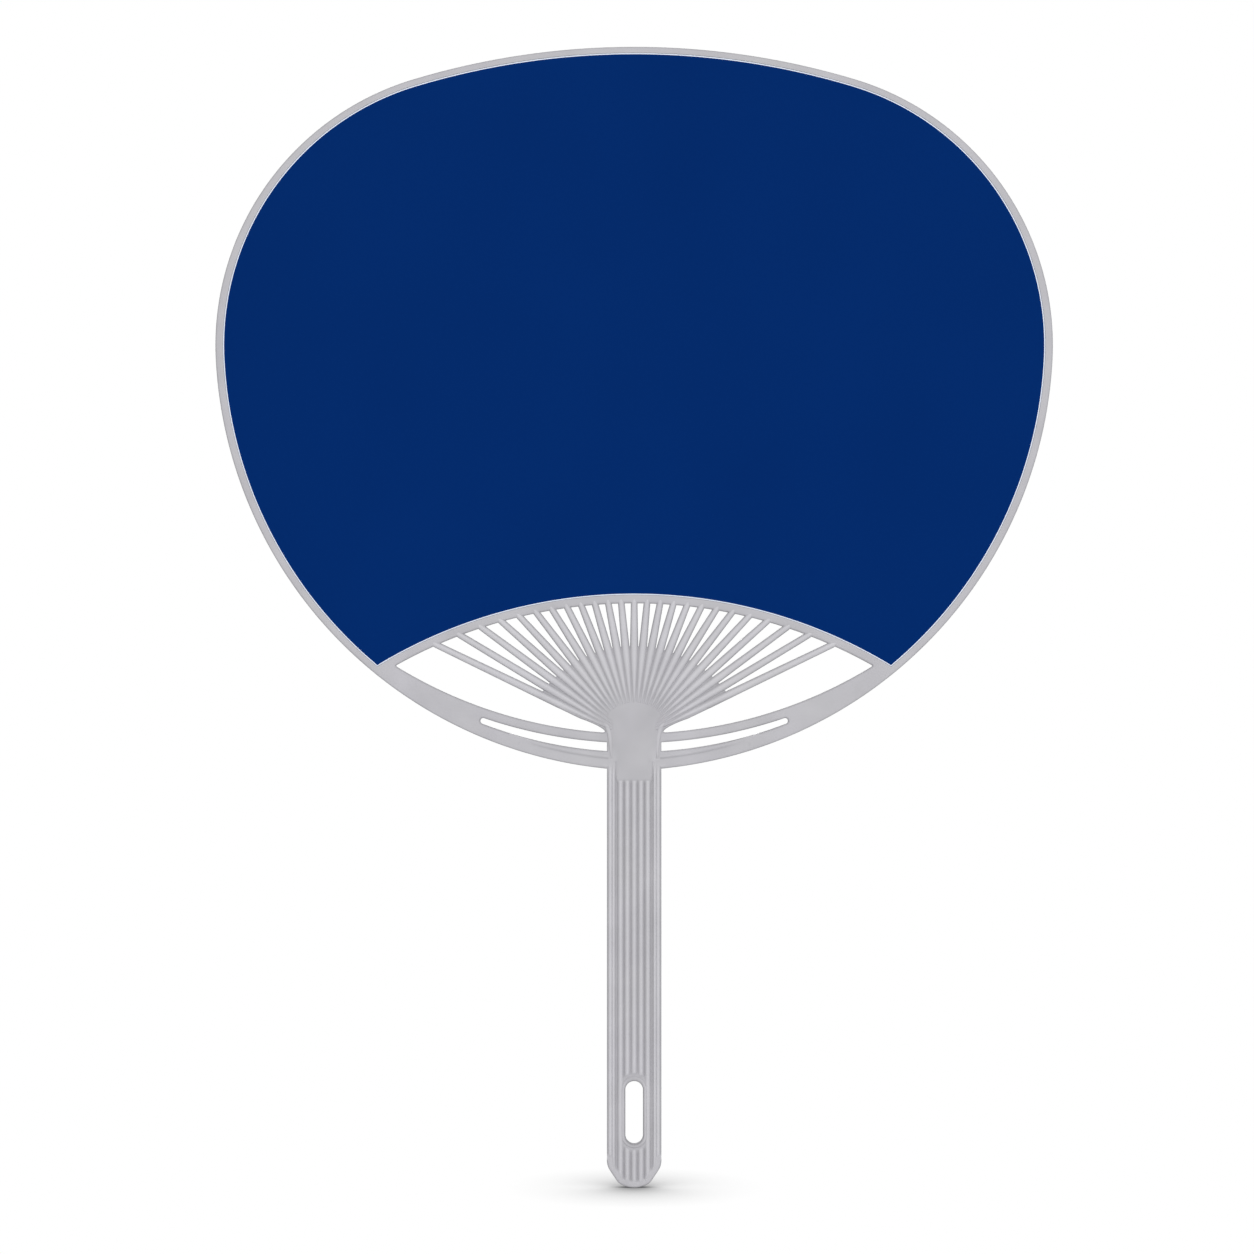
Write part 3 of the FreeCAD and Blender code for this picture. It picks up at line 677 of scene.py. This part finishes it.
class Paint:
    """The node tree of a material or of the world."""

    def __init__(self, owner):
        owner.use_nodes = True
        self.owner = owner
        self.tree = owner.node_tree
        self.tree.nodes.clear()

    def node(self, kind, settings=(), inputs=(), output=0):
        """A node: settings first, then its inputs' values or wires. One of its outputs is given back."""
        made = self.tree.nodes.new(kind)
        for name, value in dict(settings).items():
            setattr(made, name, value)
        for name, value in dict(inputs).items():
            if isinstance(value, Wire):
                self.tree.links.new(value.socket, made.inputs[name])
            else:
                made.inputs[name].default_value = value
        return Wire(self, made.outputs[output]) if made.outputs else made

    def blend(self, part, first, second):
        """A colour between two colours."""
        return self.node("ShaderNodeMix", {"data_type": "RGBA"}, {0: part, 6: first, 7: second}, 2)

    def place(self):
        """Where a point lies on the fan."""
        return self.node("ShaderNodeTexCoord", output="Object")

    def mark(self, name):
        """A value that the mesh carries at each point."""
        return self.node("ShaderNodeAttribute", {"attribute_name": name}, output="Fac")

    def cloud(self, place, scale, detail):
        """Soft noise about 0.5."""
        return self.node("ShaderNodeTexNoise", {}, {"Vector": place, "Scale": scale, "Detail": detail})

    def bump(self, height, strength, distance):
        """A fine relief."""
        return self.node("ShaderNodeBump", {}, {"Strength": strength, "Distance": distance, "Height": height})

    def surface(self, **inputs):
        """A Principled shader as the surface of the material, which is given back."""
        named = {name.replace("_", " "): value for name, value in inputs.items()}
        shader = self.node("ShaderNodeBsdfPrincipled", {}, named)
        self.node("ShaderNodeOutputMaterial", {}, {"Surface": shader})
        return self.owner


def milky_plastic():
    """Milky polypropylene with painted light and shade: a value that each point carries paints proud crowns
    pale and grooves grey. Soft clouds from the mould's flow and a fine satin skin lie over that."""
    paint = Paint(bpy.data.materials.new("milky_polypropylene"))
    place = paint.place()
    painted_shading = paint.mark("painted_shading")
    flow = paint.cloud(place, scale=95.0, detail=2.0)
    skin = paint.cloud(place, scale=1500.0, detail=1.0)
    tint = paint.cloud(place, scale=38.0, detail=2.0)
    painted_shade = paint.blend(tint, *PLASTIC_IN_PAINTED_SHADE)
    painted_light = paint.blend(tint, *PLASTIC_IN_PAINTED_LIGHT)
    painted_shading_share, flow_share = 0.85, 0.66
    satin, flow_matt, groove_matt = 0.42, 0.16, 0.4
    groove = 1 - painted_shading
    return paint.surface(
        # Base colour: painted shade in grooves and painted highlights on crowns, plus the flow's random
        # mottling
        Base_Color=paint.blend(painted_shading_share * painted_shading + flow_share * flow - flow_share / 2, painted_shade, painted_light),
        Roughness=satin + flow_matt * flow + groove_matt * groove * groove,
        Normal=paint.bump(skin, strength=0.12, distance=0.03 * MM),
        Specular_IOR_Level=0.25,
    )


def blue_sheet():
    """Matt dark blue print on white card, with a fine grain. The print stops at the cut edge."""
    paint = Paint(bpy.data.materials.new("blue_printed_card"))
    place = paint.place()
    grain = paint.cloud(place, scale=1100.0, detail=3.0)
    wash = paint.cloud(place, scale=22.0, detail=1.0)
    ink = paint.blend(0.5 * grain + 0.5 * wash, *BLUE_INK)
    matt, grain_matt = 0.5, 0.12
    return paint.surface(
        Base_Color=paint.blend(paint.mark("cut_edge"), ink, WHITE_CARD),
        Roughness=matt + grain_matt * grain,
        Normal=paint.bump(grain, strength=0.1, distance=0.02 * MM),
        Specular_IOR_Level=0.004,
    )


def dried_glue():
    """Thin clear glue, a little cloudy."""
    paint = Paint(bpy.data.materials.new("dried_glue"))
    cloud = paint.cloud(paint.place(), scale=160.0, detail=3.0)
    sheen, cloud_matt = 0.3, 0.2
    return paint.surface(Base_Color=paint.blend(cloud, *GLUE_FILM), Roughness=sheen + cloud_matt * cloud)


PLASTIC = milky_plastic()
CARD = blue_sheet()
GLUE = dried_glue()


def moulding(name, shape, flat_limit=None):
    """A piece of the moulding."""
    # Each point carries its painted light and shade
    piece = make_piece(name, shape, PLASTIC, "painted_shading", flat_limit)
    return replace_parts(piece, "skeleton")


def rim_band_arms():
    """Rim, band and bow arms: the head's outline, with a neck in the handle, and with the opening for the
    sheets, the fan and the slits cut out."""
    root = on_circle(FLANK_CENTRE, FLANK_RADIUS, flank_turn(NECK_SIDE))
    neck_top = HANDLE_LENGTH + NECK_RISE
    outer = joined(head_outline(0.0, root), np.array([[NECK_SIDE, neck_top], [-NECK_SIDE, neck_top]]))
    slit = slit_outline()
    outlines = [outer, sheet_outline(0.0, BAND_CURVE), fan_opening(), slit, mirrored(slit)]
    # Painted shade darkens the rounded edges of rim, windows and slits; the sheets' seat is painted pale, as
    # painted light
    edges = [(RIM_ROUND, EDGE_TONE), (SEAT_ROUND, SEAT_TONE), (WINDOW_ROUND, EDGE_TONE)]
    return rounded_plate(outlines, edges + 2 * [(SLIT_ROUND, EDGE_TONE)], FRAME_HALF)


def sheet_ledge():
    """The thin seat under the sheets' edges, inside rim and band."""
    outer = sheet_outline(-LEDGE_TUCK, BAND_CURVE - LEDGE_TUCK)
    hole = sheet_outline(LEDGE_WIDTH, BAND_CURVE + LEDGE_WIDTH)
    return rounded_plate([outer, hole], 2 * [(LEDGE_ROUND, HUB_TONE)], CORE_HALF, 2, HUB_TONE)


def ray_to_circle(turn, centre, radius):
    """How far rays from the fan's point run to leave a circle."""
    x, z = centre[0] - FAN_POINT[0], centre[1] - FAN_POINT[1]
    across = x * np.cos(turn) - z * np.sin(turn)
    along = x * np.sin(turn) + z * np.cos(turn)
    return along + np.sqrt(radius ** 2 - across ** 2)


def rib_width(reach, web, end):
    """Half width of a rib: as wide as its share of the fan up to the web's edge, then slowly narrower."""
    share = RIB_SHARE * (RIB_TURNS[1] - RIB_TURNS[0]) * reach
    return np.minimum(share, between(RIB_SIDE, RIB_SIDE_AT_BAND, (reach - web) / (end - web)))


def along_rib(turn, reach, profile, tones):
    """A profile at each reach, carried along a rib: its x lies across the rib, its y through it."""
    line = in_space(rib_place(turn, reach, np.zeros(len(reach))), 0.0)
    across = np.tile([math.cos(turn), 0, -math.sin(turn)], (len(reach), 1))
    return swept(line, across, profile, False, tones)


def ribs():
    """The ribs: a soft-cornered profile carried from the hub to the band, where each ends in a rounded cap,
    the root of 1 - t^2 wide."""
    parts = []
    for turn in RIB_TURNS:
        web = ray_to_circle(turn, WEB_CENTRE, WEB_CURVE)
        end = ray_to_circle(turn, BAND_CENTRE, BAND_LOW) + RIB_OVER_BAND
        shaft = stepped(RIB_ROOT, (web, 15), (web + 2, 1), (end - CAP_RUN, 11))
        reach = np.concatenate([shaft, end - CAP_RUN * CAP_ROWS])
        into_cap = np.clip(reach - end + CAP_RADIUS, 0, None) / CAP_RADIUS
        cap = np.sqrt(np.clip(1 - into_cap ** 2, 0, 1))
        wide = rib_width(reach, web, end) * np.maximum(cap, CAP_THIN)
        half = np.interp(reach, [RIB_ROOT, DOME_EDGE, web, end], RIB_HALVES) * (1 - CAP_LOW + CAP_LOW * cap)
        squarer = smooth_step(web - RIB_CHANGE, web + RIB_CHANGE, reach)
        profile = soft_box(28, RIB_POWER - RIB_SQUARER * squarer)
        # Painted highlight along each rib's crown and painted shade down its sides, fading to the hub's grey
        # at the root
        painted_shading = RIB_TONE * np.abs(profile[..., 1]) ** 2
        tones = between(HUB_TONE, painted_shading, smooth_step(*RIB_FADE, reach)[:, None])
        parts.append(along_rib(turn, reach, profile * np.stack([wide, half], -1)[:, None], tones))
    return gathered(parts)


def rib_to_rim(turn):
    """How far a rib runs to end inside the rim, on the arc of the outline that it meets."""
    arcs = ((TOP_CENTRE, TOP_RADIUS, TOP_TURN), (SHOULDER_CENTRE, SHOULDER_RADIUS, FLANK_TURN))
    for centre, radius, last_turn in arcs:
        arc_end = on_circle(centre, radius - RIB_END_INSET, last_turn)
        if turn < turn_to(FAN_POINT, arc_end):
            return ray_to_circle(turn, centre, radius - RIB_END_INSET)
    return ray_to_circle(turn, FLANK_CENTRE, FLANK_RADIUS - RIB_END_INSET)


def hidden_ribs():
    """The flat ends of the ribs between the sheets: a box profile carried from the band to the rim."""
    box = np.array([[1.0, 1.0], [-1.0, 1.0], [-1.0, -1.0], [1.0, -1.0]])
    profile = box[None] * np.array([[[RIB_SIDE_AT_BAND, CORE_HALF]], [[RIB_SIDE_AT_RIM, CORE_HALF]]])
    parts = []
    for turn in RIB_TURNS:
        start = ray_to_circle(turn, BAND_CENTRE, BAND_CURVE - RIB_UNDER_BAND)
        parts.append(along_rib(turn, np.array([start, rib_to_rim(abs(turn))]), profile, HUB_TONE))
    return gathered(parts)


def fluted_web():
    """The web under the ribs: a polar grid about the fan's point whose half thickness follows a section by
    the distance from there and falls off to a round edge."""
    turn = np.linspace(-OUTER_RIB, OUTER_RIB, WEB_COLUMNS_A_RIB * (RIB_COUNT - 1) + 1)
    edge = ray_to_circle(turn, WEB_CENTRE, WEB_CURVE)
    part = stepped(0.0, (0.97, 23), (0.985, 1), (0.995, 1), (1.0, 1))[:, None]
    reach = between(WEB_ROOT, edge, part)
    places = on_circle(FAN_POINT, reach, turn)
    levels = np.interp(reach, *np.transpose(WEB_SECTION)) - WEB_EDGE_DROP * smooth_step(*WEB_EDGE, part)
    # Painted shade: the web between the ribs is painted darker outwards
    return sided_plate(places, levels, HUB_TONE * (1 - smooth_step(*WEB_FADE, reach)))


def edge_drop(gap, radius):
    """How far a rounded edge of the radius falls at a distance from it."""
    return radius - np.sqrt(np.clip(radius ** 2 - np.clip(radius - gap, 0, None) ** 2, 0, None))


def hub():
    """The smooth hub: rows up from the handle, columns across. Its half thickness is a flat level less a
    quarter circle at its sides and less smooth steps at foot, low corners, slopes and dome. The dome stops
    just short of its pole, so that no row shrinks to a point."""
    dome_centre = FAN_POINT[1]
    dome_turn = np.linspace(DOME_START, math.pi / 2 - DOME_POLE_GAP, 30)
    up = stepped(HUB_FOOT, *HUB_ROWS, (dome_centre - HANDLE_LENGTH, 6))
    rows = np.concatenate([HANDLE_LENGTH + up, dome_centre + DOME_RADIUS * np.sin(dome_turn)])[:, None]
    neck = between(HUB_NECK_SIDE, HUB_SIDE, smooth_step(*HUB_SHOULDER, rows - HANDLE_LENGTH))
    dome = np.sqrt(np.clip(DOME_RADIUS ** 2 - np.clip(rows - dome_centre, 0, None) ** 2, 0, None))
    side = np.minimum(neck, dome)
    x = side * np.sin(np.linspace(-math.pi / 2, math.pi / 2, 41))
    z = np.broadcast_to(rows, x.shape)
    off, height = np.abs(x), z - HANDLE_LENGTH
    centre_gap = np.hypot(x, np.clip(z - dome_centre, 0, None))
    sink = smooth_step(DOME_SINK_FROM, DOME_RADIUS, centre_gap) * smooth_step(*DOME_SINK_HEIGHTS, height)
    foot = 1 - smooth_step(*HUB_FOOT_RUN, height)
    corner = (1 - smooth_step(*HUB_CORNER_HEIGHTS, height)) * smooth_step(*HUB_CORNER_SIDES, off)
    slope = smooth_step(*SLOPE_SIDES, off) * (1 - smooth_step(*SLOPE_HEIGHTS, height))
    levels = HUB_HALF - HUB_ROUND_SHARE * edge_drop(side - off, HUB_ROUND)
    levels = levels - DOME_SINK * sink - HUB_FOOT_DROP * foot - HUB_CORNER_DROP * corner - SLOPE_DROP * slope
    # Painted light: the low corners are painted paler, against the shade on their downward faces
    return sided_plate(np.stack([x, z], -1), levels, HUB_TONE + HUB_CORNER_TONE * corner)


def hub_bead():
    """A low bead from beside the dome down the hub's side, front and back: an oval profile carried along a
    cubic curve, which thins out at both ends as a power of the sine."""
    path = bent(*(np.array(BEAD_GUIDES) + (0, HANDLE_LENGTH)), 40)
    ends = np.sin(np.linspace(0.0, math.pi, len(path))) ** BEAD_TAPER
    profile = soft_box(20, 1.0)[None] * (np.multiply.outer(ends, BEAD_SIZE) + BEAD_THIN)[:, None]
    parts = []
    for mirror in (1, -1):
        for face in (-1.0, 1.0):
            line = in_space(path * (mirror, 1), face * BEAD_LEVEL)
            way = np.gradient(line, axis=0)
            way /= np.linalg.norm(way, axis=1, keepdims=True)
            across = np.cross(way, (0.0, face, 0.0))
            # The bead is painted pale, as a painted highlight
            parts.append(swept(line, across, profile, False, BEAD_TONE, face))
    return gathered(parts)


def rail_rise(gap):
    """Height of a rail over the panel's floor by the distance from the handle's edge: a rounded outer edge
    and two beads, each sqrt(1 - t^2) high, with a fine groove between them."""
    rise = np.zeros_like(gap)
    for middle, side in RAIL_BEADS:
        off = (gap - middle) / side
        rise = np.maximum(rise, RAIL_BEAD_RISE * np.sqrt(np.clip(1 - off ** 2, 0, 1)))
    return RAIL_RISE * (np.interp(gap, *np.transpose(RAIL_SECTION)) + rise)


def rail_tone(gap):
    """Painted light and shade on a rail: painted highlights on its beads, painted shade in the groove and at
    the outer edge.
    """
    crest = rail_rise(np.array(RAIL_BEADS[0][0]))
    return RAIL_TONE * rail_rise(gap) / crest * smooth_step(*RAIL_FADE, gap)


def arm_groove(gap):
    """1 in the middle of the groove along an arm, falling off from it as exp(-t^2)."""
    return np.exp(-((gap - ARM_GROOVE) / GROOVE_SIDE) ** 2)


def arm_level(gap, fade):
    """Half thickness of an arm's border: the frame's rounded edge, raised a little beside the groove."""
    return FRAME_HALF - edge_drop(gap, RIM_ROUND) + fade * GROOVE_DEPTH * (1 - arm_groove(gap))


def mitre(z):
    """0 on the handle, 1 on the arms: how far the rail has sunk to the arm's border, by height."""
    return smooth_step(*MITRE_HEIGHTS, z - HANDLE_LENGTH)


def arm_rails():
    """The border along the lower edge of each arm: rows run from the handle out, columns in from the edge. It
    goes over from the rail's section to the border's, and fades into the arm outwards."""
    turn = np.linspace(flank_turn(HANDLE_SIDE - ARM_RAIL_TUCK), flank_turn(ARM_RAIL_END), 70)
    gap = np.concatenate([RAIL_GAPS, ARM_GAPS])
    places = on_circle(FLANK_CENTRE, FLANK_RADIUS - gap, turn[:, None])
    x, z = places[..., 0], places[..., 1]
    fade = 1 - smooth_step(*ARM_FADE, np.linspace(0, 1, len(turn)))[:, None]
    part = np.maximum(mitre(z), smooth_step(HANDLE_SIDE, HANDLE_SIDE + MITRE_RUN, x))
    levels = between(PANEL_FLOOR + rail_rise(gap), arm_level(gap, fade), part)
    inner_sink = smooth_step(*ARM_INNER_GAPS, gap) * (ARM_INNER_SINK + GROOVE_DEPTH * fade)
    levels = levels + ARM_PROUD - inner_sink - ARM_END_SINK * (1 - fade)
    # Painted shade in the groove along the arm and at its outer edge
    border_tone = (FLAT_TONE - GROOVE_TONE * arm_groove(gap) * fade) * smooth_step(*EDGE_FADE, gap)
    points, faces, tones = sided_plate(places, levels, between(rail_tone(gap), border_tone, part))
    return gathered([(points, faces, tones), (points * (-1, 1, 1), faces, tones)])


def softened(corner, before, after, radius, count=25):
    """Points of the arc of a radius that rounds a corner between two straight runs."""
    back = (before - corner) / np.linalg.norm(before - corner)
    on = (after - corner) / np.linalg.norm(after - corner)
    half = math.acos(np.clip(back @ on, -1, 1)) / 2
    start = corner + back * radius / math.tan(half)
    end = corner + on * radius / math.tan(half)
    centre = corner + (back + on) / np.linalg.norm(back + on) * radius / math.sin(half)
    chord = between(start, end, np.linspace(0, 1, count)[:, None]) - centre
    return centre + chord / np.linalg.norm(chord, axis=1, keepdims=True) * radius


def tip_outline():
    """The right half of the handle's lower end from the middle: shallow arc, rounded corner, slant, rounded
    shoulder and straight side."""
    x = np.linspace(0, TIP_ARC_SIDE, 20)
    bottom = np.stack([x, TIP_BOW * x ** 2], -1)
    corner = np.array(TIP_CORNER)
    shoulder = np.array([HANDLE_EDGE, TIP_SHOULDER])
    lower = softened(corner, bottom[-1], shoulder, TIP_CORNER_RADIUS)
    upper = softened(shoulder, corner, shoulder + (0, TIP_SHOULDER_RADIUS), TIP_SHOULDER_RADIUS)
    return np.concatenate([bottom[bottom[:, 0] < lower[0, 0]], lower, upper])


def tip_distance(x, z, outline):
    """How far places lie from the tip's outline, which is laid out again in fine even steps."""
    run = np.concatenate([[0.0], np.cumsum(np.linalg.norm(np.diff(outline, axis=0), axis=1))])
    even = np.arange(0.0, run[-1], TIP_STEP)
    fine = np.stack([np.interp(even, run, outline[:, 0]), np.interp(even, run, outline[:, 1])], -1)
    places = np.stack([np.abs(x), z], -1)
    return np.min(np.linalg.norm(places[:, None] - fine[None], axis=2), axis=1)


def slot_distance(x, z):
    """How far places lie from the slot's middle line, which joins the centres of its round ends."""
    return np.hypot(x, np.clip(np.abs(z - SLOT_HEIGHT) - SLOT_REACH, 0, None))


def slot_apron(x, z):
    """1 beside the slot's border, falling to 0 on the panel."""
    return 1 - smooth_step(*APRON_GAPS, slot_distance(x, z))


def ridge_part(x, z, gap):
    """How far places rise up the panel's ridges: 1 - t^2 across each one, faded out at the rails and the hub.
    The ridges between the valleys beside the slot end short of its border."""
    part = np.zeros_like(x)
    for middle in RIDGES:
        off = np.abs(x - middle) / RIDGE_SIDE
        part = np.maximum(part, np.clip(1 - off ** 2, 0, 1))
    part = part * (1 - smooth_step(*RIDGE_FADE, z - RIDGE_TOP)) * smooth_step(*RIDGE_GAPS, gap)
    past_end = slot_distance(x, z) - np.where(z > SLOT_HEIGHT, RIDGE_END_OVER, RIDGE_END_UNDER)
    return part * np.where(np.abs(x) < RIDGE_VALLEY, smooth_step(0.0, RIDGE_END_RUN, past_end), 1.0)


def handle_level(x, z, gap, side_gap, tip_gap):
    """Half thickness of the handle: the largest of the rails, a sunk panel that ramps up to the hub and a low
    apron round the slot. Ridges rise from that, it sinks under the slot's border, and a smooth lip runs
    round the tip."""
    level = between(PANEL_FLOOR + rail_rise(gap), arm_level(gap, 1.0), mitre(z))
    up = z - RIDGE_TOP
    ramp = (HUB_HALF - PANEL_FLOOR) * smooth_step(*RAMP, up) - RAMP_DIP * smooth_step(*RAMP_DIP_RUN, up)
    level = np.maximum(level, PANEL_FLOOR + ramp * smooth_step(*RAMP_GAPS, side_gap))
    level = np.maximum(level, PANEL_FLOOR + APRON_RISE * slot_apron(x, z))
    level = between(level, PANEL_FLOOR + RIDGE_RISE, ridge_part(x, z, gap))
    level = between(UNDER_BORDER, level, smooth_step(*UNDER_BORDER_GAPS, slot_distance(x, z)))
    lip = PANEL_FLOOR + LIP_RISE - edge_drop(tip_gap, LIP_ROUND)
    return between(lip, level, smooth_step(*LIP_GAPS, tip_gap))


def handle_tone(x, z, gap, side_gap, tip_gap):
    """Painted light and shade on the handle: the largest of rails, ridges and apron, then the hub's at the
    smooth top and the lip's round the tip. Ridge crests get painted highlights, and the lip painted shade at
    its edge."""
    border_tone = FLAT_TONE * smooth_step(*EDGE_FADE, gap)
    tone = between(rail_tone(gap), border_tone, mitre(z))
    tone = np.maximum(tone, RIDGE_TONE * ridge_part(x, z, gap) ** 2)
    tone = np.maximum(tone, APRON_TONE * slot_apron(x, z))
    smooth_top = smooth_step(*SMOOTH_TOP, z - RIDGE_TOP) * smooth_step(*SMOOTH_TOP_GAPS, side_gap)
    tone = between(tone, HUB_TONE, smooth_top)
    lip_tone = LIP_TONE * smooth_step(*LIP_FADE, tip_gap)
    return between(lip_tone, tone, smooth_step(*LIP_GAPS, tip_gap))


def handle():
    """The handle as a height over its outline: rows follow the rounded tip, then run straight across. The
    slot's hole is a plain rectangle with walls of its own, and the slot's border covers its edges."""
    panel = np.linspace(0, PANEL_SIDE, 42)
    rail = HANDLE_EDGE - np.concatenate([RAIL_GAPS, [PANEL_GAP]])
    right = np.unique(np.round(np.concatenate([panel, rail, [HOLE_SIDE]]), 3))
    across = np.concatenate([-right[:0:-1], right])
    tip = tip_outline()
    bottom = np.interp(np.abs(across), tip[:, 0], tip[:, 1])
    low = np.concatenate([TIP_EDGE_ROWS, np.linspace(0.1, 1, 30)])
    tip_rows = between(bottom, TIP_TOP, low[:, None])
    hole_low = SLOT_HEIGHT - SLOT_REACH - HOLE_SIDE
    hole_high = SLOT_HEIGHT + SLOT_REACH + HOLE_SIDE
    heights = stepped(ROWS_START, (hole_low, 5), *SLOT_ROWS, (hole_high, 11), *UPPER_ROWS)
    z = np.concatenate([tip_rows, np.broadcast_to(heights[:, None], (len(heights), len(across)))])
    x = np.broadcast_to(across, z.shape)
    side_gap = HANDLE_EDGE - np.abs(x)
    arm_gap = FLANK_RADIUS - np.hypot(np.abs(x) - FLANK_CENTRE[0], z - FLANK_CENTRE[1])
    gap = np.maximum(side_gap, arm_gap)
    tip_gap = np.full_like(gap, LIP_GAPS[1])
    near = z < TIP_TOP
    tip_gap[near] = tip_distance(x[near], z[near], tip)
    levels = handle_level(x, z, gap, side_gap, tip_gap)
    tones = handle_tone(x, z, gap, side_gap, tip_gap)
    left_column, right_column = np.searchsorted(across, [-HOLE_SIDE, HOLE_SIDE])
    low_row, high_row = len(low) + np.searchsorted(heights, [hole_low, hole_high])
    return sided_plate(np.stack([x, z], -1), levels, tones, (low_row, high_row, left_column, right_column))


def slot_border():
    """The rounded border of the hang slot: a soft box carried round two half circles and two straights,
    wider over the slot by cosine^2, and painted paler at its sides by sine^2 of the angle from straight up,
    as painted light."""
    count = 33
    turn = np.linspace(-math.pi / 2, math.pi / 2, count)
    swell = np.concatenate([BORDER_SWELL * np.cos(turn) ** 2, np.zeros(count)])
    side = BORDER_WIDTH / 2 + swell
    outward = on_circle((0.0, 0.0), 1.0, np.concatenate([turn, turn + math.pi]))
    end = np.repeat([SLOT_HEIGHT + SLOT_REACH, SLOT_HEIGHT - SLOT_REACH], count)
    track = (SLOT_SIDE + side)[:, None] * outward + np.stack([np.zeros(len(end)), end], -1)
    box = soft_box(36, BORDER_POWER)
    profile = box[None] * np.stack([side, np.full(len(side), BORDER_HALF)], -1)[:, None]
    # Painted light on the border's face, painted shade down its walls
    painted_shading = BORDER_END_TONE + BORDER_SIDE_TONE * np.sin(np.tile(turn, 2)) ** 2
    tones = painted_shading[:, None] * np.abs(box[:, 1]) ** 2
    return swept(in_space(track, 0.0), in_space(outward, 0.0), profile, True, tones)


def card(side):
    """One sheet: rings of its outline, close together over the softened cut edge, then drawn in to a middle
    point. The face lies at the outer level less the edge's drop, and the underside is flat."""
    outline = turned(sheet_outline(SHEET_CLEARANCE, BAND_CURVE + SHEET_CLEARANCE), True)
    count = len(outline)
    insets, drops = np.transpose(CUT_SECTION)
    rings = outline[None] + insets[:, None, None] * inward(outline)[None]
    middle = np.array([0.0, SHEET_MIDDLE])
    shares = np.linspace(1, INNERMOST_RING, 14)[1:]
    places = np.concatenate([rings, between(middle, rings[-1], shares[:, None, None])])
    total = len(places)
    level = SHEET_OUTER - np.concatenate([drops, np.zeros(len(shares))])
    face = in_space(places, side * level[:, None])
    under = in_space(places[::-1], side * SHEET_INNER)
    points = np.concatenate([face, under]).reshape(-1, 3)
    strips = grid_faces(2 * total, count, around=True, closed_rows=True).reshape(2 * total, count, 4)
    heart = (total - 1) * count + np.arange(count)
    faces = [*np.delete(strips, total - 1, 0).reshape(-1, 4), heart[::-1], heart + count]
    white = np.concatenate([insets <= CUT_EDGE, np.zeros(len(shares))])
    return points, faces, np.repeat(np.concatenate([white, white[::-1]]), count)


moulding("rim_band_and_arms", rim_band_arms(), FLAT_FACE)
moulding("sheet_ledge", sheet_ledge(), FLAT_FACE)
moulding("ribs", ribs())
moulding("hidden_ribs", hidden_ribs(), FLAT_FACE)
moulding("fluted_web", fluted_web())
moulding("hub", hub())
moulding("hub_bead", hub_bead())
moulding("arm_rails", arm_rails())
moulding("handle", handle())
moulding("slot_border", slot_border())

for name, side in (("front", -1), ("back", 1)):
    sheet = make_piece(f"{name}_card", card(side), CARD, "cut_edge", FLAT_FACE)
    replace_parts(sheet, f"{name}_sheet")
    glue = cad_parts[f"{name}_glue"]
    for holder in glue.material_slots:
        holder.link = "OBJECT"
        holder.material = GLUE


def plainly_seen(paint):
    """1 for rays from the camera, from glossy surfaces and through clear ones, 0 for the light on the fan."""
    seen = paint.node("ShaderNodeLightPath", output="Is Camera Ray")
    for name in ("Is Glossy Ray", "Is Transmission Ray"):
        seen = seen.maths("MAXIMUM", seen, paint.node("ShaderNodeLightPath", output=name))
    return seen


def floor():
    """A white round floor that glows white for the camera, with the soft shadow close under the fan painted
    into that glow from the occlusion around each point.
    """
    bpy.ops.mesh.primitive_circle_add(vertices=96, radius=FLOOR_RADIUS, fill_type="NGON", location=(0, 0, 0))
    disc = bpy.context.object
    disc.name = "floor"
    paint = Paint(bpy.data.materials.new("pale_floor"))
    open_sky = paint.node("ShaderNodeAmbientOcclusion", {"samples": 24}, {"Distance": SHADOW_REACH}, "AO")
    tone = paint.blend(open_sky.maths("POWER", open_sky, SHADOW_POWER), FLOOR_SHADE, WHITE)
    white = paint.node("ShaderNodeEmission", {}, {"Color": tone})
    matt = paint.node("ShaderNodeBsdfDiffuse", {}, {"Color": FLOOR_MATT})
    mixed = paint.node("ShaderNodeMixShader", {}, {0: plainly_seen(paint), 1: matt, 2: white})
    paint.node("ShaderNodeOutputMaterial", {}, {"Surface": mixed})
    disc.data.materials.append(paint.owner)


def surroundings():
    """Soft even light, with plain white for what the camera and reflections see."""
    world = bpy.data.worlds.new("studio")
    bpy.context.scene.world = world
    paint = Paint(world)
    strength = AMBIENT + (1 - AMBIENT) * plainly_seen(paint)
    back = paint.node("ShaderNodeBackground", {}, {"Color": WHITE, "Strength": strength})
    paint.node("ShaderNodeOutputWorld", {}, {"Surface": back})


def lamp(name, place, power):
    """A square soft lamp that faces the fan."""
    light = bpy.data.lights.new(name, "AREA")
    light.size = LAMP_SIZE
    light.energy = power
    holder = bpy.data.objects.new(name, light)
    holder.location = place
    holder.rotation_euler = (Vector(LAMP_TARGET) - Vector(place)).to_track_quat("-Z", "Y").to_euler()
    bpy.context.scene.collection.objects.link(holder)


floor()
surroundings()
for name, place, power in LAMPS:
    lamp(name, place, power)

# The camera stands straight in front, level with the middle of the picture
camera_data = bpy.data.cameras.new("camera")
camera_data.lens = LENS
camera_data.sensor_width = SENSOR
camera = bpy.data.objects.new("camera", camera_data)
camera.location = (PICTURE_MIDDLE[0], -PICTURE_WIDTH * LENS / SENSOR, PICTURE_MIDDLE[1])
camera.rotation_euler = (math.pi / 2, 0, 0)
bpy.context.scene.collection.objects.link(camera)
bpy.context.scene.camera = camera
bpy.context.scene.view_settings.view_transform = "Standard"
